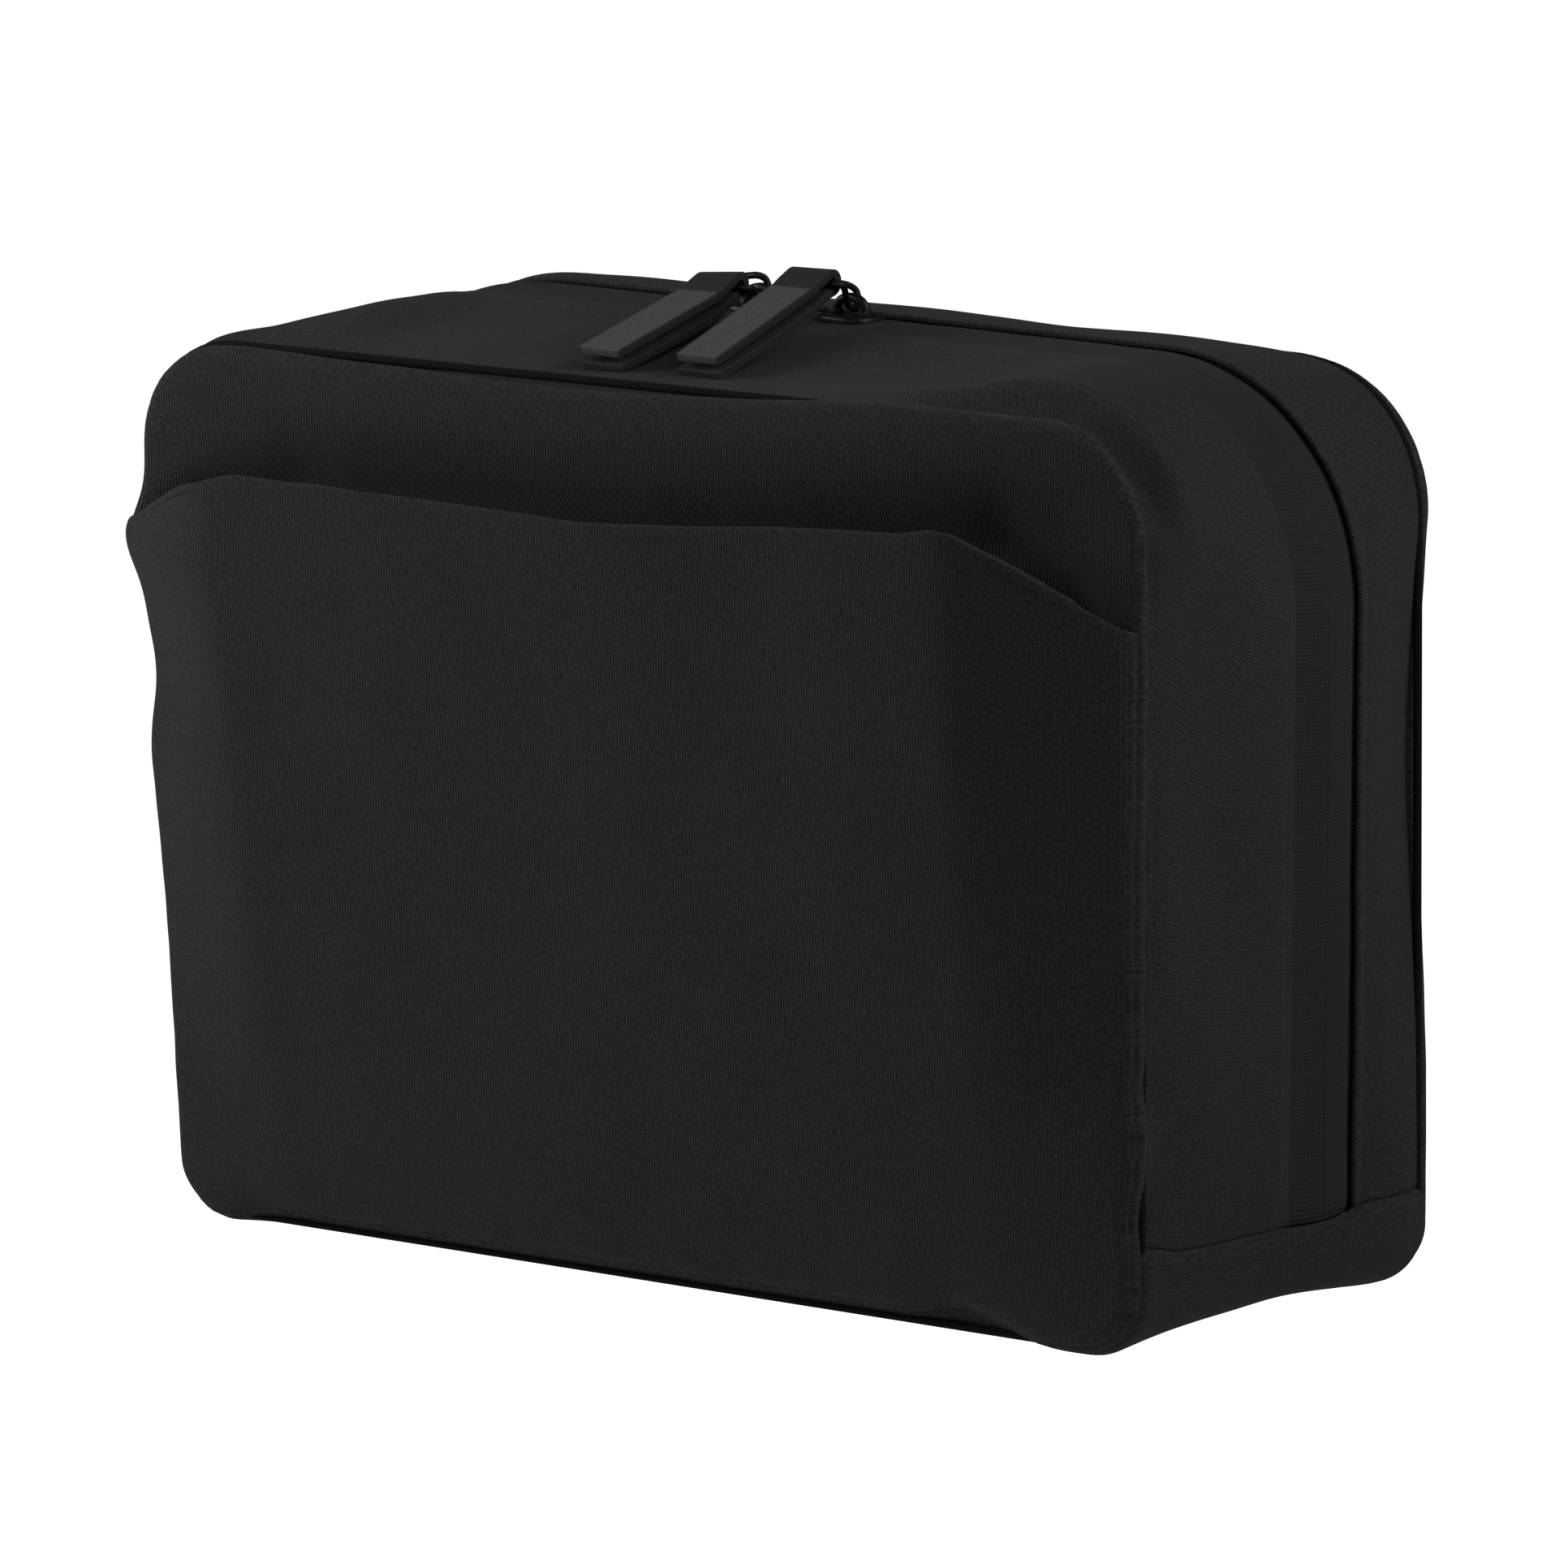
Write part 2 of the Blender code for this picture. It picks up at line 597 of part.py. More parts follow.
def main():
    clear_scene()
    materials = {
        "shell": make_material("shell_fabric", FABRIC, 0.9),
        "foam": make_material("foam", (0.16, 0.16, 0.17), 0.95),
        "lining": make_material("lining_fabric", LINING_COLOR, 0.8),
        "binding": make_material("seam_tape", DARK_FABRIC, 0.85),
        "mesh": make_material("mesh_fabric", MESH_COLOR, 0.85),
        "elastic": make_material("elastic_webbing", STRAP_COLOR, 0.85),
        "zip": make_material("zip_tape", ZIP_COLOR, 0.7),
        "strap": make_material("pull_webbing", STRAP_COLOR, 0.75),
        "metal": make_material("slider_metal", METAL_COLOR, 0.45, 0.8),
    }
    make_rear_half(materials)
    make_front_half(materials)
    make_pulls("left", LEFT_SLIDER_X, materials)
    make_pulls("right", RIGHT_SLIDER_X, materials)


main()
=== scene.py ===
# %% [markdown]
# # A cable organizer pouch, from stiff solids to cloth
#
# The pouch is a soft clamshell: a front half and a rear half, each a padded panel with a strip of
# cloth round its edge, joined by a zip over the top and by one strip of cloth under the bottom.
# The frame that is loaded here holds the plain solids, the hinge and the slides. This lesson
# dresses them: every panel, strip, tape, loop and pull is made again as the real thing, with
# folded seams, topstitching, woven texture and the small slackness that cloth has.

# %% Load the frame
import math

import bpy
from mathutils import Matrix, Vector, noise


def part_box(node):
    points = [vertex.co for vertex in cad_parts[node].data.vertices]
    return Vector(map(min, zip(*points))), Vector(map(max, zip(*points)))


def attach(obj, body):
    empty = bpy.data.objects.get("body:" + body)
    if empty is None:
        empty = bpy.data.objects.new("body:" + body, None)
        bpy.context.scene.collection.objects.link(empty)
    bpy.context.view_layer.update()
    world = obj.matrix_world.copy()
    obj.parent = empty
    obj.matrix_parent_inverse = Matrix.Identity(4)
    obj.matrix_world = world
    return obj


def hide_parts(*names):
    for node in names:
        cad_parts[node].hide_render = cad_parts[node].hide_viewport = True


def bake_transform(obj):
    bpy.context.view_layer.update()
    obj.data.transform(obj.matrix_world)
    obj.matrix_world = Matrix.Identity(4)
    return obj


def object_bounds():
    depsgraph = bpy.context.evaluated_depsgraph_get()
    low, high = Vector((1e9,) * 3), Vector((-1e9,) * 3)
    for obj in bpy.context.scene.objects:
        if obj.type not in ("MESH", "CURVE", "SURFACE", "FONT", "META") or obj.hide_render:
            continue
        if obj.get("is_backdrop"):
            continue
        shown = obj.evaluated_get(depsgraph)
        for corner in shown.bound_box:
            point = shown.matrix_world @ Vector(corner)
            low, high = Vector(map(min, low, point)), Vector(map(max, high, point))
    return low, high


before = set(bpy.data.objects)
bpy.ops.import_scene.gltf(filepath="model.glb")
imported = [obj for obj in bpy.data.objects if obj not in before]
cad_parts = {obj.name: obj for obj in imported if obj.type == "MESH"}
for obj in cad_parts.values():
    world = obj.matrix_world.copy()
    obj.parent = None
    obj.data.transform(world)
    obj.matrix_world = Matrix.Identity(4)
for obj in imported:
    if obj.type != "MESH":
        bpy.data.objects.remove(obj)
cad_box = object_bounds()
print("solids:", len(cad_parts))

# %% [markdown]
# ## The pattern of the body
#
# A sewn bag starts as a paper pattern. Here the pattern is one rounded outline whose size changes
# with depth, from the seam of the front panel to the seam of the back panel. All sizes are in
# millimetres, and where the frame can be measured they come from it. Every strip is cut along this
# outline, so neighbours always meet.

# %% Measure the frame
MM = 0.001


def span(node):
    """Lowest and highest corner of a solid, in millimetres."""
    low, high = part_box(node)
    return low / MM, high / MM


slider_low, slider_high = span("left_slider")
FRONT_Y = span("front_gusset")[0].y - 0.3
DEPTH = span("rear_gusset")[1].y + 0.3 - FRONT_Y
ZIP_DEPTH = (slider_low.y + slider_high.y) / 2 - FRONT_Y
BAND_TOP = span("bottom_gusset")[1].z
print(f"depth {DEPTH:.1f}, zip at {ZIP_DEPTH:.1f}, band seam at {BAND_TOP:.1f} mm")

# %% The sizes of the pattern
CENTRE_X = -0.66
FRONT_HALF, RIDGE_HALF, BACK_HALF = 108.2, 106.6, 104.6
FRONT_TOP, RIDGE_TOP, BACK_TOP = 150.5, 158.0, 154.5
FRONT_CORNER, RIDGE_CORNER, BACK_CORNER = 19.0, 42.0, 26.0
FOOT_CORNER = 11.0
SWELL = 2.2
LEFT_LEAN, RIGHT_LEAN, RIGHT_RISE = 0.085, 0.012, 4.0
TOP_DIP, DIP_LEFT, DIP_RIGHT, DIP_EDGE = 3.4, -79.0, 73.0, 18.0
GUSSET_END, LIP_START = 43.3, 60.6
TAPE_INSET = 1.8
CLOTH = 1.2


def smooth(value):
    """Ease from 0 to 1."""
    value = min(1.0, max(0.0, value))
    return value * value * (3 - 2 * value)


def hill(value, centre, spread):
    """A soft bump of height 1."""
    return math.exp(-(((value - centre) / spread) ** 2))


def by_depth(front, ridge, back, depth):
    """A size that swells from the front seam to the zip and shrinks to the back seam."""
    if depth <= ZIP_DEPTH:
        share = max(0.0, depth) / ZIP_DEPTH
        return front + (ridge - front) * (1 - (1 - share) ** SWELL)
    share = min(1.0, (depth - ZIP_DEPTH) / (DEPTH - ZIP_DEPTH))
    return ridge + (back - ridge) * share**SWELL


def section(depth, inset=0.0):
    """Half width, top and corner radius of the outline at this depth."""
    half = by_depth(FRONT_HALF, RIDGE_HALF, BACK_HALF, depth) - inset
    top = by_depth(FRONT_TOP, RIDGE_TOP, BACK_TOP, depth) - inset
    corner = by_depth(FRONT_CORNER, RIDGE_CORNER, BACK_CORNER, depth) - inset
    return half, top, corner


# %% [markdown]
# ## Slackness
#
# Nothing sewn is exact. The pocket pulls the left seam in, the right seam puckers, the strip behind
# the top right corner falls into a hollow with a soft ridge round it, the bottom seam lifts off the
# table between the feet, and cloth ripples a little everywhere. If each piece had its
# own ripple, the pieces would cut through each other. So there is one drift for the whole body: it
# moves a place in space, and every piece that passes there moves with it.

# %% The drift of the cloth
LEFT_TUCK, LEFT_POKE, LEFT_BULGE, BACK_TUCK = 2.4, 4.4, 1.8, 3.4
HOLLOW = 5.5
SEAM_PUCKER = 0.75
BOTTOM_LIFT, BOTTOM_PEAK = 2.3, 2.2
UNDERSIDE_ARCH = 3.2


def ripple(x, y, size, seed):
    """Smooth noise between -1 and 1, with bumps about this size in millimetres."""
    return noise.noise(Vector((x / size, y / size, seed)))


def shoulder_hollow(x, depth, z):
    """The hollow behind the top right seam and the ridge that ends it, as how far in, by (x, z)."""
    half, top, corner = section(depth)
    over, above = x - (half - corner), z - (top - corner)
    if over < 0:
        inside, run, way = top - z, over, (0.0, 1.0)
    elif above < 0:
        inside, run, way = half - x, corner * math.pi / 2 - above, (1.0, 0.0)
    else:
        far = max(1e-6, math.hypot(over, above))
        inside, run, way = corner - far, corner * math.atan2(over, above), (over / far, above / far)
    along = smooth((run + 38) / 24) * smooth((44 - run) / 22) * smooth(1.2 - inside / 16)
    reach = 10.0 + 2.5 * smooth((run + 30) / 50) + 1.2 * ripple(run, 1.0, 30.0, 2.2)
    bowl = smooth(depth / 1.8) * smooth((reach + 1.5 - depth) / 3.8)
    amount = along * HOLLOW * (bowl - 0.25 * hill(depth, reach + 3.6, 2.6))
    return amount * way[0], amount * way[1]


def drift(x, depth, z):
    """How far the cloth at this place has moved from the pattern, as (x, depth, z)."""
    depth = max(0.0, depth)
    if depth > 0 and x > 40 and z > 90:
        sink = shoulder_hollow(x, depth, z)
        across, up = -sink[0], -sink[1]
    else:
        across = up = 0.0
    left, right = smooth((-x - 58) / 44), smooth((x - 90) / 14)
    across += left * hill(depth, 0, 1.6) * LEFT_TUCK * hill(z, 93, 8)
    behind = left * hill(depth, 4.2, 2.8)
    across -= behind * (2.4 * smooth((z - 84) / 8) + 1.0 * hill(z, 92, 12))
    up += 0.8 * behind * smooth((z - 132) / 12)
    across -= left * hill(depth, 0, 9) * (LEFT_POKE * hill(z, 116, 6.5) + LEFT_BULGE * hill(z, 86, 24))
    across -= right * smooth((depth - 60) / 18) * BACK_TUCK * hill(z, 92, 40)
    low = smooth((z - 10) / 12) * smooth((84 - z) / 22)
    pucker = ripple(z, 3.0, 9.0, 1.7) * 2.2 + ripple(z, 8.0, 22.0, 5.1) * 1.4
    across += right * hill(depth, 0, 4) * low * SEAM_PUCKER * pucker
    under = smooth((15 - z) / 12)
    lift = BOTTOM_LIFT * smooth((x + 100) / 14) * smooth((90 - x) / 10) + BOTTOM_PEAK * hill(x, 71, 7)
    lift += 0.35 * ripple(x, 1.0, 14.0, 2.9)
    up += hill(depth, 0, 2.3) * under * lift
    at_end = hill(x, 108, 7) * hill(z, 138, 30)
    up -= at_end * hill(depth, 0, 12) * 2.4
    over = smooth((z - 138) / 10)
    up += over * hill(depth, 0, 6) * (0.5 * ripple(x, 2.0, 26.0, 3.3) - 0.6 * hill(x, -20, 22))
    on_side = smooth((abs(x) - 92) / 10)
    wave = 0.7 - 1.7 * depth / DEPTH - 1.8 * smooth(depth / 12) * smooth((68 - depth) / 13)
    up += on_side * hill(z, BAND_TOP, 9) * (wave + 0.55 * ripple(depth, x, 13.0, 7.7))
    return across, 0.0, up


def place(x, depth, z):
    """A place on the pouch in metres: sides lean, the right shoulder rises, the top dips, cloth drifts."""
    across, along, up = drift(x, depth, z)
    lean = (LEFT_LEAN if x < 0 else RIGHT_LEAN) * max(0.0, 1 - z / RIDGE_TOP)
    share = min(1.0, max(0.0, depth) / ZIP_DEPTH)
    rise = RIGHT_RISE * smooth((x + 5) / 80) * smooth((z - 50) / 100) * (1 - share) ** 1.5
    spread = smooth((x - DIP_LEFT) / DIP_EDGE) * smooth((DIP_RIGHT - x) / DIP_EDGE)
    run = min(1.0, max(0.0, depth) / GUSSET_END)
    dip = TOP_DIP * spread * 4 * run * (1 - run) * smooth((z - 100) / 45)
    moved = Vector((CENTRE_X + x * (1 - lean) + across, FRONT_Y + depth + along, z + rise - dip + up))
    return moved * MM


# %% [markdown]
# ## Tools for cloth
#
# A sheet of cloth is a grid primitive. Each point of the grid is moved to where the pattern says,
# and the grid keeps its flat layout as a UV map in millimetres, so that the weave later follows the
# cloth round every corner. Rows are set close together near the edges, where seams roll.

# %% Grids, walls and finishing
EDGE_STEPS = (0.0, 0.3, 0.7, 1.2, 1.9, 3.2, 5.5)


def only(piece):
    """Select this piece and nothing else."""
    bpy.ops.object.select_all(action="DESELECT")
    piece.select_set(True)
    bpy.context.view_layer.objects.active = piece


def modify(piece, kind, **settings):
    """Add a modifier with these settings and apply it."""
    only(piece)
    modifier = piece.modifiers.new(kind.title(), kind)
    for name, value in settings.items():
        setattr(modifier, name, value)
    bpy.ops.object.modifier_apply(modifier=modifier.name)


def spaced(low, high, count):
    """Places from low to high, close together near both ends."""
    near = [low + step for step in EDGE_STEPS]
    far = [high - step for step in reversed(EDGE_STEPS)]
    gap = (far[0] - near[-1]) / count
    return near + [near[-1] + gap * n for n in range(1, count)] + far


def sheet_of(name, across, along, shape, outward):
    """A grid whose point (i, j) goes to shape(across[i], along[j]). Its front faces the outward way."""
    columns, rows = len(across) - 1, len(along) - 1
    bpy.ops.object.select_all(action="DESELECT")
    bpy.ops.mesh.primitive_grid_add(x_subdivisions=columns, y_subdivisions=rows, size=2)
    piece = bpy.context.object
    piece.name = piece.data.name = name
    flat = []
    for vertex in piece.data.vertices:
        i = round((vertex.co.x + 1) / 2 * columns)
        j = round((vertex.co.y + 1) / 2 * rows)
        point, uv = shape(across[i], along[j])
        vertex.co = point
        flat.append(uv)
    layer = piece.data.uv_layers.active.data
    for corner in piece.data.loops:
        layer[corner.index].uv = flat[corner.vertex_index]
    middle = piece.data.polygons[len(piece.data.polygons) // 2]
    if middle.normal.dot(Vector(outward)) < 0:
        piece.data.flip_normals()
    return piece


def wall(piece, thickness=CLOTH, levels=1):
    """Give a sheet its thickness, inwards from its face, and round it."""
    modify(piece, "SOLIDIFY", thickness=thickness * MM, offset=-1.0)
    modify(piece, "SUBSURF", levels=levels, render_levels=levels)
    only(piece)
    bpy.ops.object.shade_smooth()
    return piece


def roll(distance, radius=1.3):
    """How deep a cloth's edge has turned in, this far from its seam."""
    if distance >= radius:
        return 0.0
    return radius - math.sqrt(radius**2 - (radius - max(0.0, distance)) ** 2)


# %% The folded edge of a strip
# A strip's border is turned inwards at a seam: (how far behind the seam, how deep) along the cloth.
SEAM_FOLD = (
    (1.9, 2.2), (1.35, 1.6), (1.0, 1.05), (0.75, 0.7), (0.7, 0.4), (0.85, 0.2), (1.2, 0.06), (1.8, 0.0)
)
FOLD_STEP = 0.5
FOLD_RUN = FOLD_STEP * (len(SEAM_FOLD) - 1)
FOLD_STEPS = [FOLD_STEP * n for n in range(len(SEAM_FOLD))] + [4.2, 5.2, 7.0]


def folded(row):
    """Distance behind the seam and depth in the groove, this far along the cloth from its border."""
    if row >= FOLD_RUN:
        return SEAM_FOLD[-1][0] + row - FOLD_RUN, 0.0
    step = min(int(row / FOLD_STEP), len(SEAM_FOLD) - 2)
    share = row / FOLD_STEP - step
    (back_a, deep_a), (back_b, deep_b) = SEAM_FOLD[step], SEAM_FOLD[step + 1]
    return back_a + (back_b - back_a) * share, deep_a + (deep_b - deep_a) * share


# %% Which body each piece belongs to
made = {}


def finish(piece, material, solids):
    """The piece takes a finish, and stands for these solids."""
    piece.data.materials.clear()
    piece.data.materials.append(material)
    if solids:
        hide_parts(*solids)
    made[piece.name] = piece
    return piece


def belongs(piece, body, material, slot, *solids):
    """Finish a piece that moves with one body."""
    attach(piece, body)
    return finish(piece, material, solids)


# %% [markdown]
# ## Shader groups
#
# All the black cloths share one idea: ribs across the cloth, a finer yarn the other way, slubs that
# run a long way along one yarn, and fluff. One node group holds that idea, and each cloth places
# it with its own sizes. The UV maps are in millimetres, so a rib width is a real width.

# %% Helpers for nodes
def new_group(name, inputs, outputs):
    """An empty shader group with these named sockets. Inputs are (name, kind, value)."""
    group = bpy.data.node_groups.new(name, "ShaderNodeTree")
    for label, kind, value in inputs:
        socket = group.interface.new_socket(name=label, in_out="INPUT", socket_type=kind)
        socket.default_value = value
    for label, kind in outputs:
        group.interface.new_socket(name=label, in_out="OUTPUT", socket_type=kind)
    entry = group.nodes.new("NodeGroupInput")
    leave = group.nodes.new("NodeGroupOutput")
    return group, entry, leave


def math_node(tree, operation, *values, clamp=False):
    """A Math node. Each value is a number or another node's output."""
    node = tree.nodes.new("ShaderNodeMath")
    node.operation = operation
    node.use_clamp = clamp
    for socket, value in zip(node.inputs, values):
        if isinstance(value, (int, float)):
            socket.default_value = value
        else:
            tree.links.new(value, socket)
    return node.outputs[0]


def scaled_noise(tree, vector, scale, detail=2.0, roughness=0.55):
    """Noise on a vector that has been stretched by scale."""
    stretch = tree.nodes.new("ShaderNodeVectorMath")
    stretch.operation = "MULTIPLY"
    stretch.inputs[1].default_value = scale
    tree.links.new(vector, stretch.inputs[0])
    texture = tree.nodes.new("ShaderNodeTexNoise")
    texture.inputs["Scale"].default_value = 1.0
    texture.inputs["Detail"].default_value = detail
    texture.inputs["Roughness"].default_value = roughness
    tree.links.new(stretch.outputs[0], texture.inputs["Vector"])
    return texture.outputs["Fac"]


def uv_parts(tree):
    """The UV map's socket, and a node that splits it into X, Y and Z."""
    where = tree.nodes.new("ShaderNodeTexCoord")
    split = tree.nodes.new("ShaderNodeSeparateXYZ")
    tree.links.new(where.outputs["UV"], split.inputs[0])
    return where.outputs["UV"], split.outputs


def dimmed(tree, color, factor, target):
    """Feed a color, given as three numbers or a socket, times a factor to the target socket."""
    tint = tree.nodes.new("ShaderNodeVectorMath")
    tint.operation = "SCALE"
    if isinstance(color, tuple):
        tint.inputs[0].default_value = color
    else:
        tree.links.new(color, tint.inputs[0])
    tree.links.new(factor, tint.inputs["Scale"])
    tree.links.new(tint.outputs[0], target)


# %% The weave group
def make_weave_group():
    """Ribs, yarns, slubs and fluff on a UV map in millimetres."""
    inputs = [
        ("Color", "NodeSocketColor", (0.03, 0.03, 0.03, 1)),
        ("Rib Width", "NodeSocketFloat", 0.7),
        ("Yarn Width", "NodeSocketFloat", 0.35),
        ("Rib Depth", "NodeSocketFloat", 0.5),
        ("Contrast", "NodeSocketFloat", 0.3),
        ("Roughness", "NodeSocketFloat", 0.85),
    ]
    outputs = [("Color", "NodeSocketColor"), ("Roughness", "NodeSocketFloat"), ("Height", "NodeSocketFloat")]
    tree, entry, leave = new_group("woven_cloth", inputs, outputs)
    uv, parts = uv_parts(tree)
    wander = scaled_noise(tree, uv, (0.35, 0.12, 1.0))
    turns = []
    for axis, width, strength in ((0, "Rib Width", 2.6), (1, "Yarn Width", 1.6)):
        cycles = math_node(tree, "DIVIDE", parts[axis], entry.outputs[width])
        bend = math_node(tree, "MULTIPLY", wander, strength * 2)
        angle = math_node(tree, "MULTIPLY_ADD", cycles, 2 * math.pi, bend)
        turns.append(math_node(tree, "SINE", angle))
    ribs, yarns = turns
    slub = scaled_noise(tree, uv, (2.2, 0.5, 1.0), detail=1.0)
    fluff = scaled_noise(tree, uv, (1.9, 1.7, 1.0), detail=3.0, roughness=0.8)
    patch = scaled_noise(tree, uv, (0.03, 0.03, 1.0), detail=2.0)
    rib_height = math_node(tree, "MULTIPLY", ribs, entry.outputs["Rib Depth"])
    height = math_node(tree, "MULTIPLY_ADD", yarns, 0.22, rib_height)
    height = math_node(tree, "MULTIPLY_ADD", fluff, 1.5, height)
    height = math_node(tree, "MULTIPLY_ADD", slub, 0.8, height)
    tone = math_node(tree, "MULTIPLY_ADD", ribs, 0.10, 0.0)
    for source, share in ((slub, 0.9), (fluff, 4.0), (patch, 0.3)):
        centred = math_node(tree, "SUBTRACT", source, 0.5)
        tone = math_node(tree, "MULTIPLY_ADD", centred, share, tone)
    tone = math_node(tree, "MULTIPLY_ADD", tone, entry.outputs["Contrast"], 1.0)
    dimmed(tree, entry.outputs["Color"], tone, leave.inputs["Color"])
    gloss = math_node(tree, "SUBTRACT", entry.outputs["Roughness"], 0.08)
    shine = math_node(tree, "MULTIPLY_ADD", fluff, 0.16, gloss)
    tree.links.new(shine, leave.inputs["Roughness"])
    tree.links.new(height, leave.inputs["Height"])
    return tree


weave = make_weave_group()
print("weave group has", len(weave.nodes), "nodes")

# %% [markdown]
# ## Finishes
#
# A cloth finish is the weave group with its own numbers, a bump for the height of the yarns, and a
# little sheen for the fibres that stand up at the edge of sight.

# %% Make the cloth finishes
def shader_of(name, roughness=0.8, specular=0.3, sheen=0.0, metallic=0.0):
    """A new material and its Principled shader, with its plain numbers set on the shader itself."""
    material = bpy.data.materials.new(name)
    material.use_nodes = True
    shader = material.node_tree.nodes["Principled BSDF"]
    shader.inputs["Roughness"].default_value = roughness
    shader.inputs["Specular IOR Level"].default_value = specular
    shader.inputs["Sheen Weight"].default_value = sheen
    shader.inputs["Sheen Roughness"].default_value = 0.5
    shader.inputs["Metallic"].default_value = metallic
    return material, shader


def bump_on(material, shader, height, relief):
    """Feed a height in millimetres of relief to the shader's normal."""
    tree = material.node_tree
    bump = tree.nodes.new("ShaderNodeBump")
    bump.inputs["Distance"].default_value = relief * MM
    tree.links.new(height, bump.inputs["Height"])
    tree.links.new(bump.outputs[0], shader.inputs["Normal"])


def cloth(name, color, relief=0.09, sheen=0.05, specular=0.2, **weave_values):
    """A woven finish."""
    material, shader = shader_of(name, specular=specular, sheen=sheen)
    tree = material.node_tree
    node = tree.nodes.new("ShaderNodeGroup")
    node.node_tree = weave
    node.inputs["Color"].default_value = (*color, 1)
    for label, value in weave_values.items():
        node.inputs[label.replace("_", " ").title()].default_value = value
    tree.links.new(node.outputs["Color"], shader.inputs["Base Color"])
    tree.links.new(node.outputs["Roughness"], shader.inputs["Roughness"])
    bump_on(material, shader, node.outputs["Height"], relief)
    return material


BLACK = (0.0250, 0.0250, 0.0282)
shell_cloth = cloth("shell_cloth", BLACK, rib_width=0.6, yarn_width=0.36, rib_depth=0.55, contrast=1.0)
lining_cloth = cloth("lining_cloth", (0.11, 0.11, 0.12), rib_width=0.5, yarn_width=0.5, contrast=0.12)
binding_tape = cloth("binding_tape", (0.014, 0.014, 0.015), rib_width=0.9, rib_depth=0.8, contrast=0.2)
zip_cloth = cloth(
    "zip_cloth", (0.022, 0.022, 0.023), relief=0.10, rib_width=0.62, yarn_width=0.9, rib_depth=0.8
)
elastic_band = cloth(
    "elastic_band", (0.026, 0.026, 0.028), relief=0.16, rib_width=1.1, yarn_width=0.5, rib_depth=1.4
)
foam_board = cloth("foam_board", (0.17, 0.17, 0.18), relief=0.12, rib_depth=0.05, contrast=0.1)
# The straps' pale base colour is a painted highlight on their flat face; the rest is dimmed below as painted
# shade.
pull_webbing = cloth("pull_webbing", (0.085, 0.085, 0.088), relief=0.04, rib_width=0.5, roughness=0.6)

# %% [markdown]
# The pull straps' light and shade are painted: the flat face keeps a pale colour as a painted
# highlight, while the fold, the lower layer and the edges are dimmed to black as painted shade. Their
# UV map has the width in X and the distance from the fold in Y, so two soft steps find the pale face.

# %% Paint shade on the fold and the edges of the straps
def paint_strap_shade(material, half_width, fold):
    """Painted shade: scale the base color down outside the flat face."""
    tree = material.node_tree
    shader = tree.nodes["Principled BSDF"]
    source = shader.inputs["Base Color"].links[0].from_socket
    _, parts = uv_parts(tree)
    across = math_node(tree, "ABSOLUTE", parts["X"])
    inner = math_node(tree, "MULTIPLY_ADD", across, -2.5, half_width * 2.5, clamp=True)
    past = math_node(tree, "MULTIPLY_ADD", parts["Y"], 3.0, -3.0 * fold, clamp=True)
    share = math_node(tree, "MULTIPLY_ADD", math_node(tree, "MULTIPLY", inner, past), 0.72, 0.28)
    dimmed(tree, source, share, shader.inputs["Base Color"])


# Painted shade on the straps' fold, lower layer and edges; the flat face keeps its painted highlight.
paint_strap_shade(pull_webbing, 4.3, 5.6)

# %% [markdown]
# Metal, nylon and thread are not woven. The slider's black paint is satin with fine pits, the zip's
# coil is smooth nylon, and the thread has a twist. The mesh pocket has real holes, so its finish
# drives the shader's alpha from a staggered pattern of round eyes.

# %% Make the other finishes
def speckled(name, color, roughness, specular, grain, relief, metallic=0.0):
    """A plain finish with fine grain in its colour, gloss and height."""
    material, shader = shader_of(name, roughness, specular, metallic=metallic)
    tree = material.node_tree
    where = tree.nodes.new("ShaderNodeTexCoord")
    size = 1 / (grain * MM)
    fine = scaled_noise(tree, where.outputs["Object"], (size, size, size), detail=3.0)
    wide = scaled_noise(tree, where.outputs["Object"], (size / 9, size / 9, size / 9))
    broad = math_node(tree, "MULTIPLY_ADD", wide, 0.5, 0.5)
    tone = math_node(tree, "MULTIPLY_ADD", fine, 0.5, broad)
    dimmed(tree, color, tone, shader.inputs["Base Color"])
    gloss = math_node(tree, "MULTIPLY_ADD", wide, 0.25, roughness - 0.12, clamp=True)
    tree.links.new(gloss, shader.inputs["Roughness"])
    bump_on(material, shader, fine, relief)
    return material


def knitted(name, color, pitch=2.4, eye=0.30):
    """Mesh cloth: round holes in staggered rows, on a UV map in millimetres."""
    material, shader = shader_of(name, 0.7, 0.3, 0.2)
    tree = material.node_tree
    uv, parts = uv_parts(tree)
    row = math_node(tree, "DIVIDE", parts["Y"], pitch * 0.866)
    odd = math_node(tree, "FLOORED_MODULO", math_node(tree, "FLOOR", row), 2.0)
    column = math_node(tree, "MULTIPLY_ADD", odd, 0.5, math_node(tree, "DIVIDE", parts["X"], pitch))
    across = math_node(tree, "SUBTRACT", math_node(tree, "FRACT", column), 0.5)
    along = math_node(tree, "SUBTRACT", math_node(tree, "FRACT", row), 0.5)
    square = math_node(tree, "MULTIPLY", across, across)
    far = math_node(tree, "SQRT", math_node(tree, "MULTIPLY_ADD", along, along, square))
    solid = math_node(tree, "GREATER_THAN", far, eye)
    tree.links.new(solid, shader.inputs["Alpha"])
    yarn = scaled_noise(tree, uv, (3.0, 3.0, 1.0), detail=3.0)
    tone = math_node(tree, "MULTIPLY_ADD", yarn, 0.6, 0.7)
    dimmed(tree, color, tone, shader.inputs["Base Color"])
    rise = math_node(tree, "MULTIPLY_ADD", far, 1.4, math_node(tree, "MULTIPLY", yarn, 0.4))
    bump_on(material, shader, rise, 0.3)
    return material


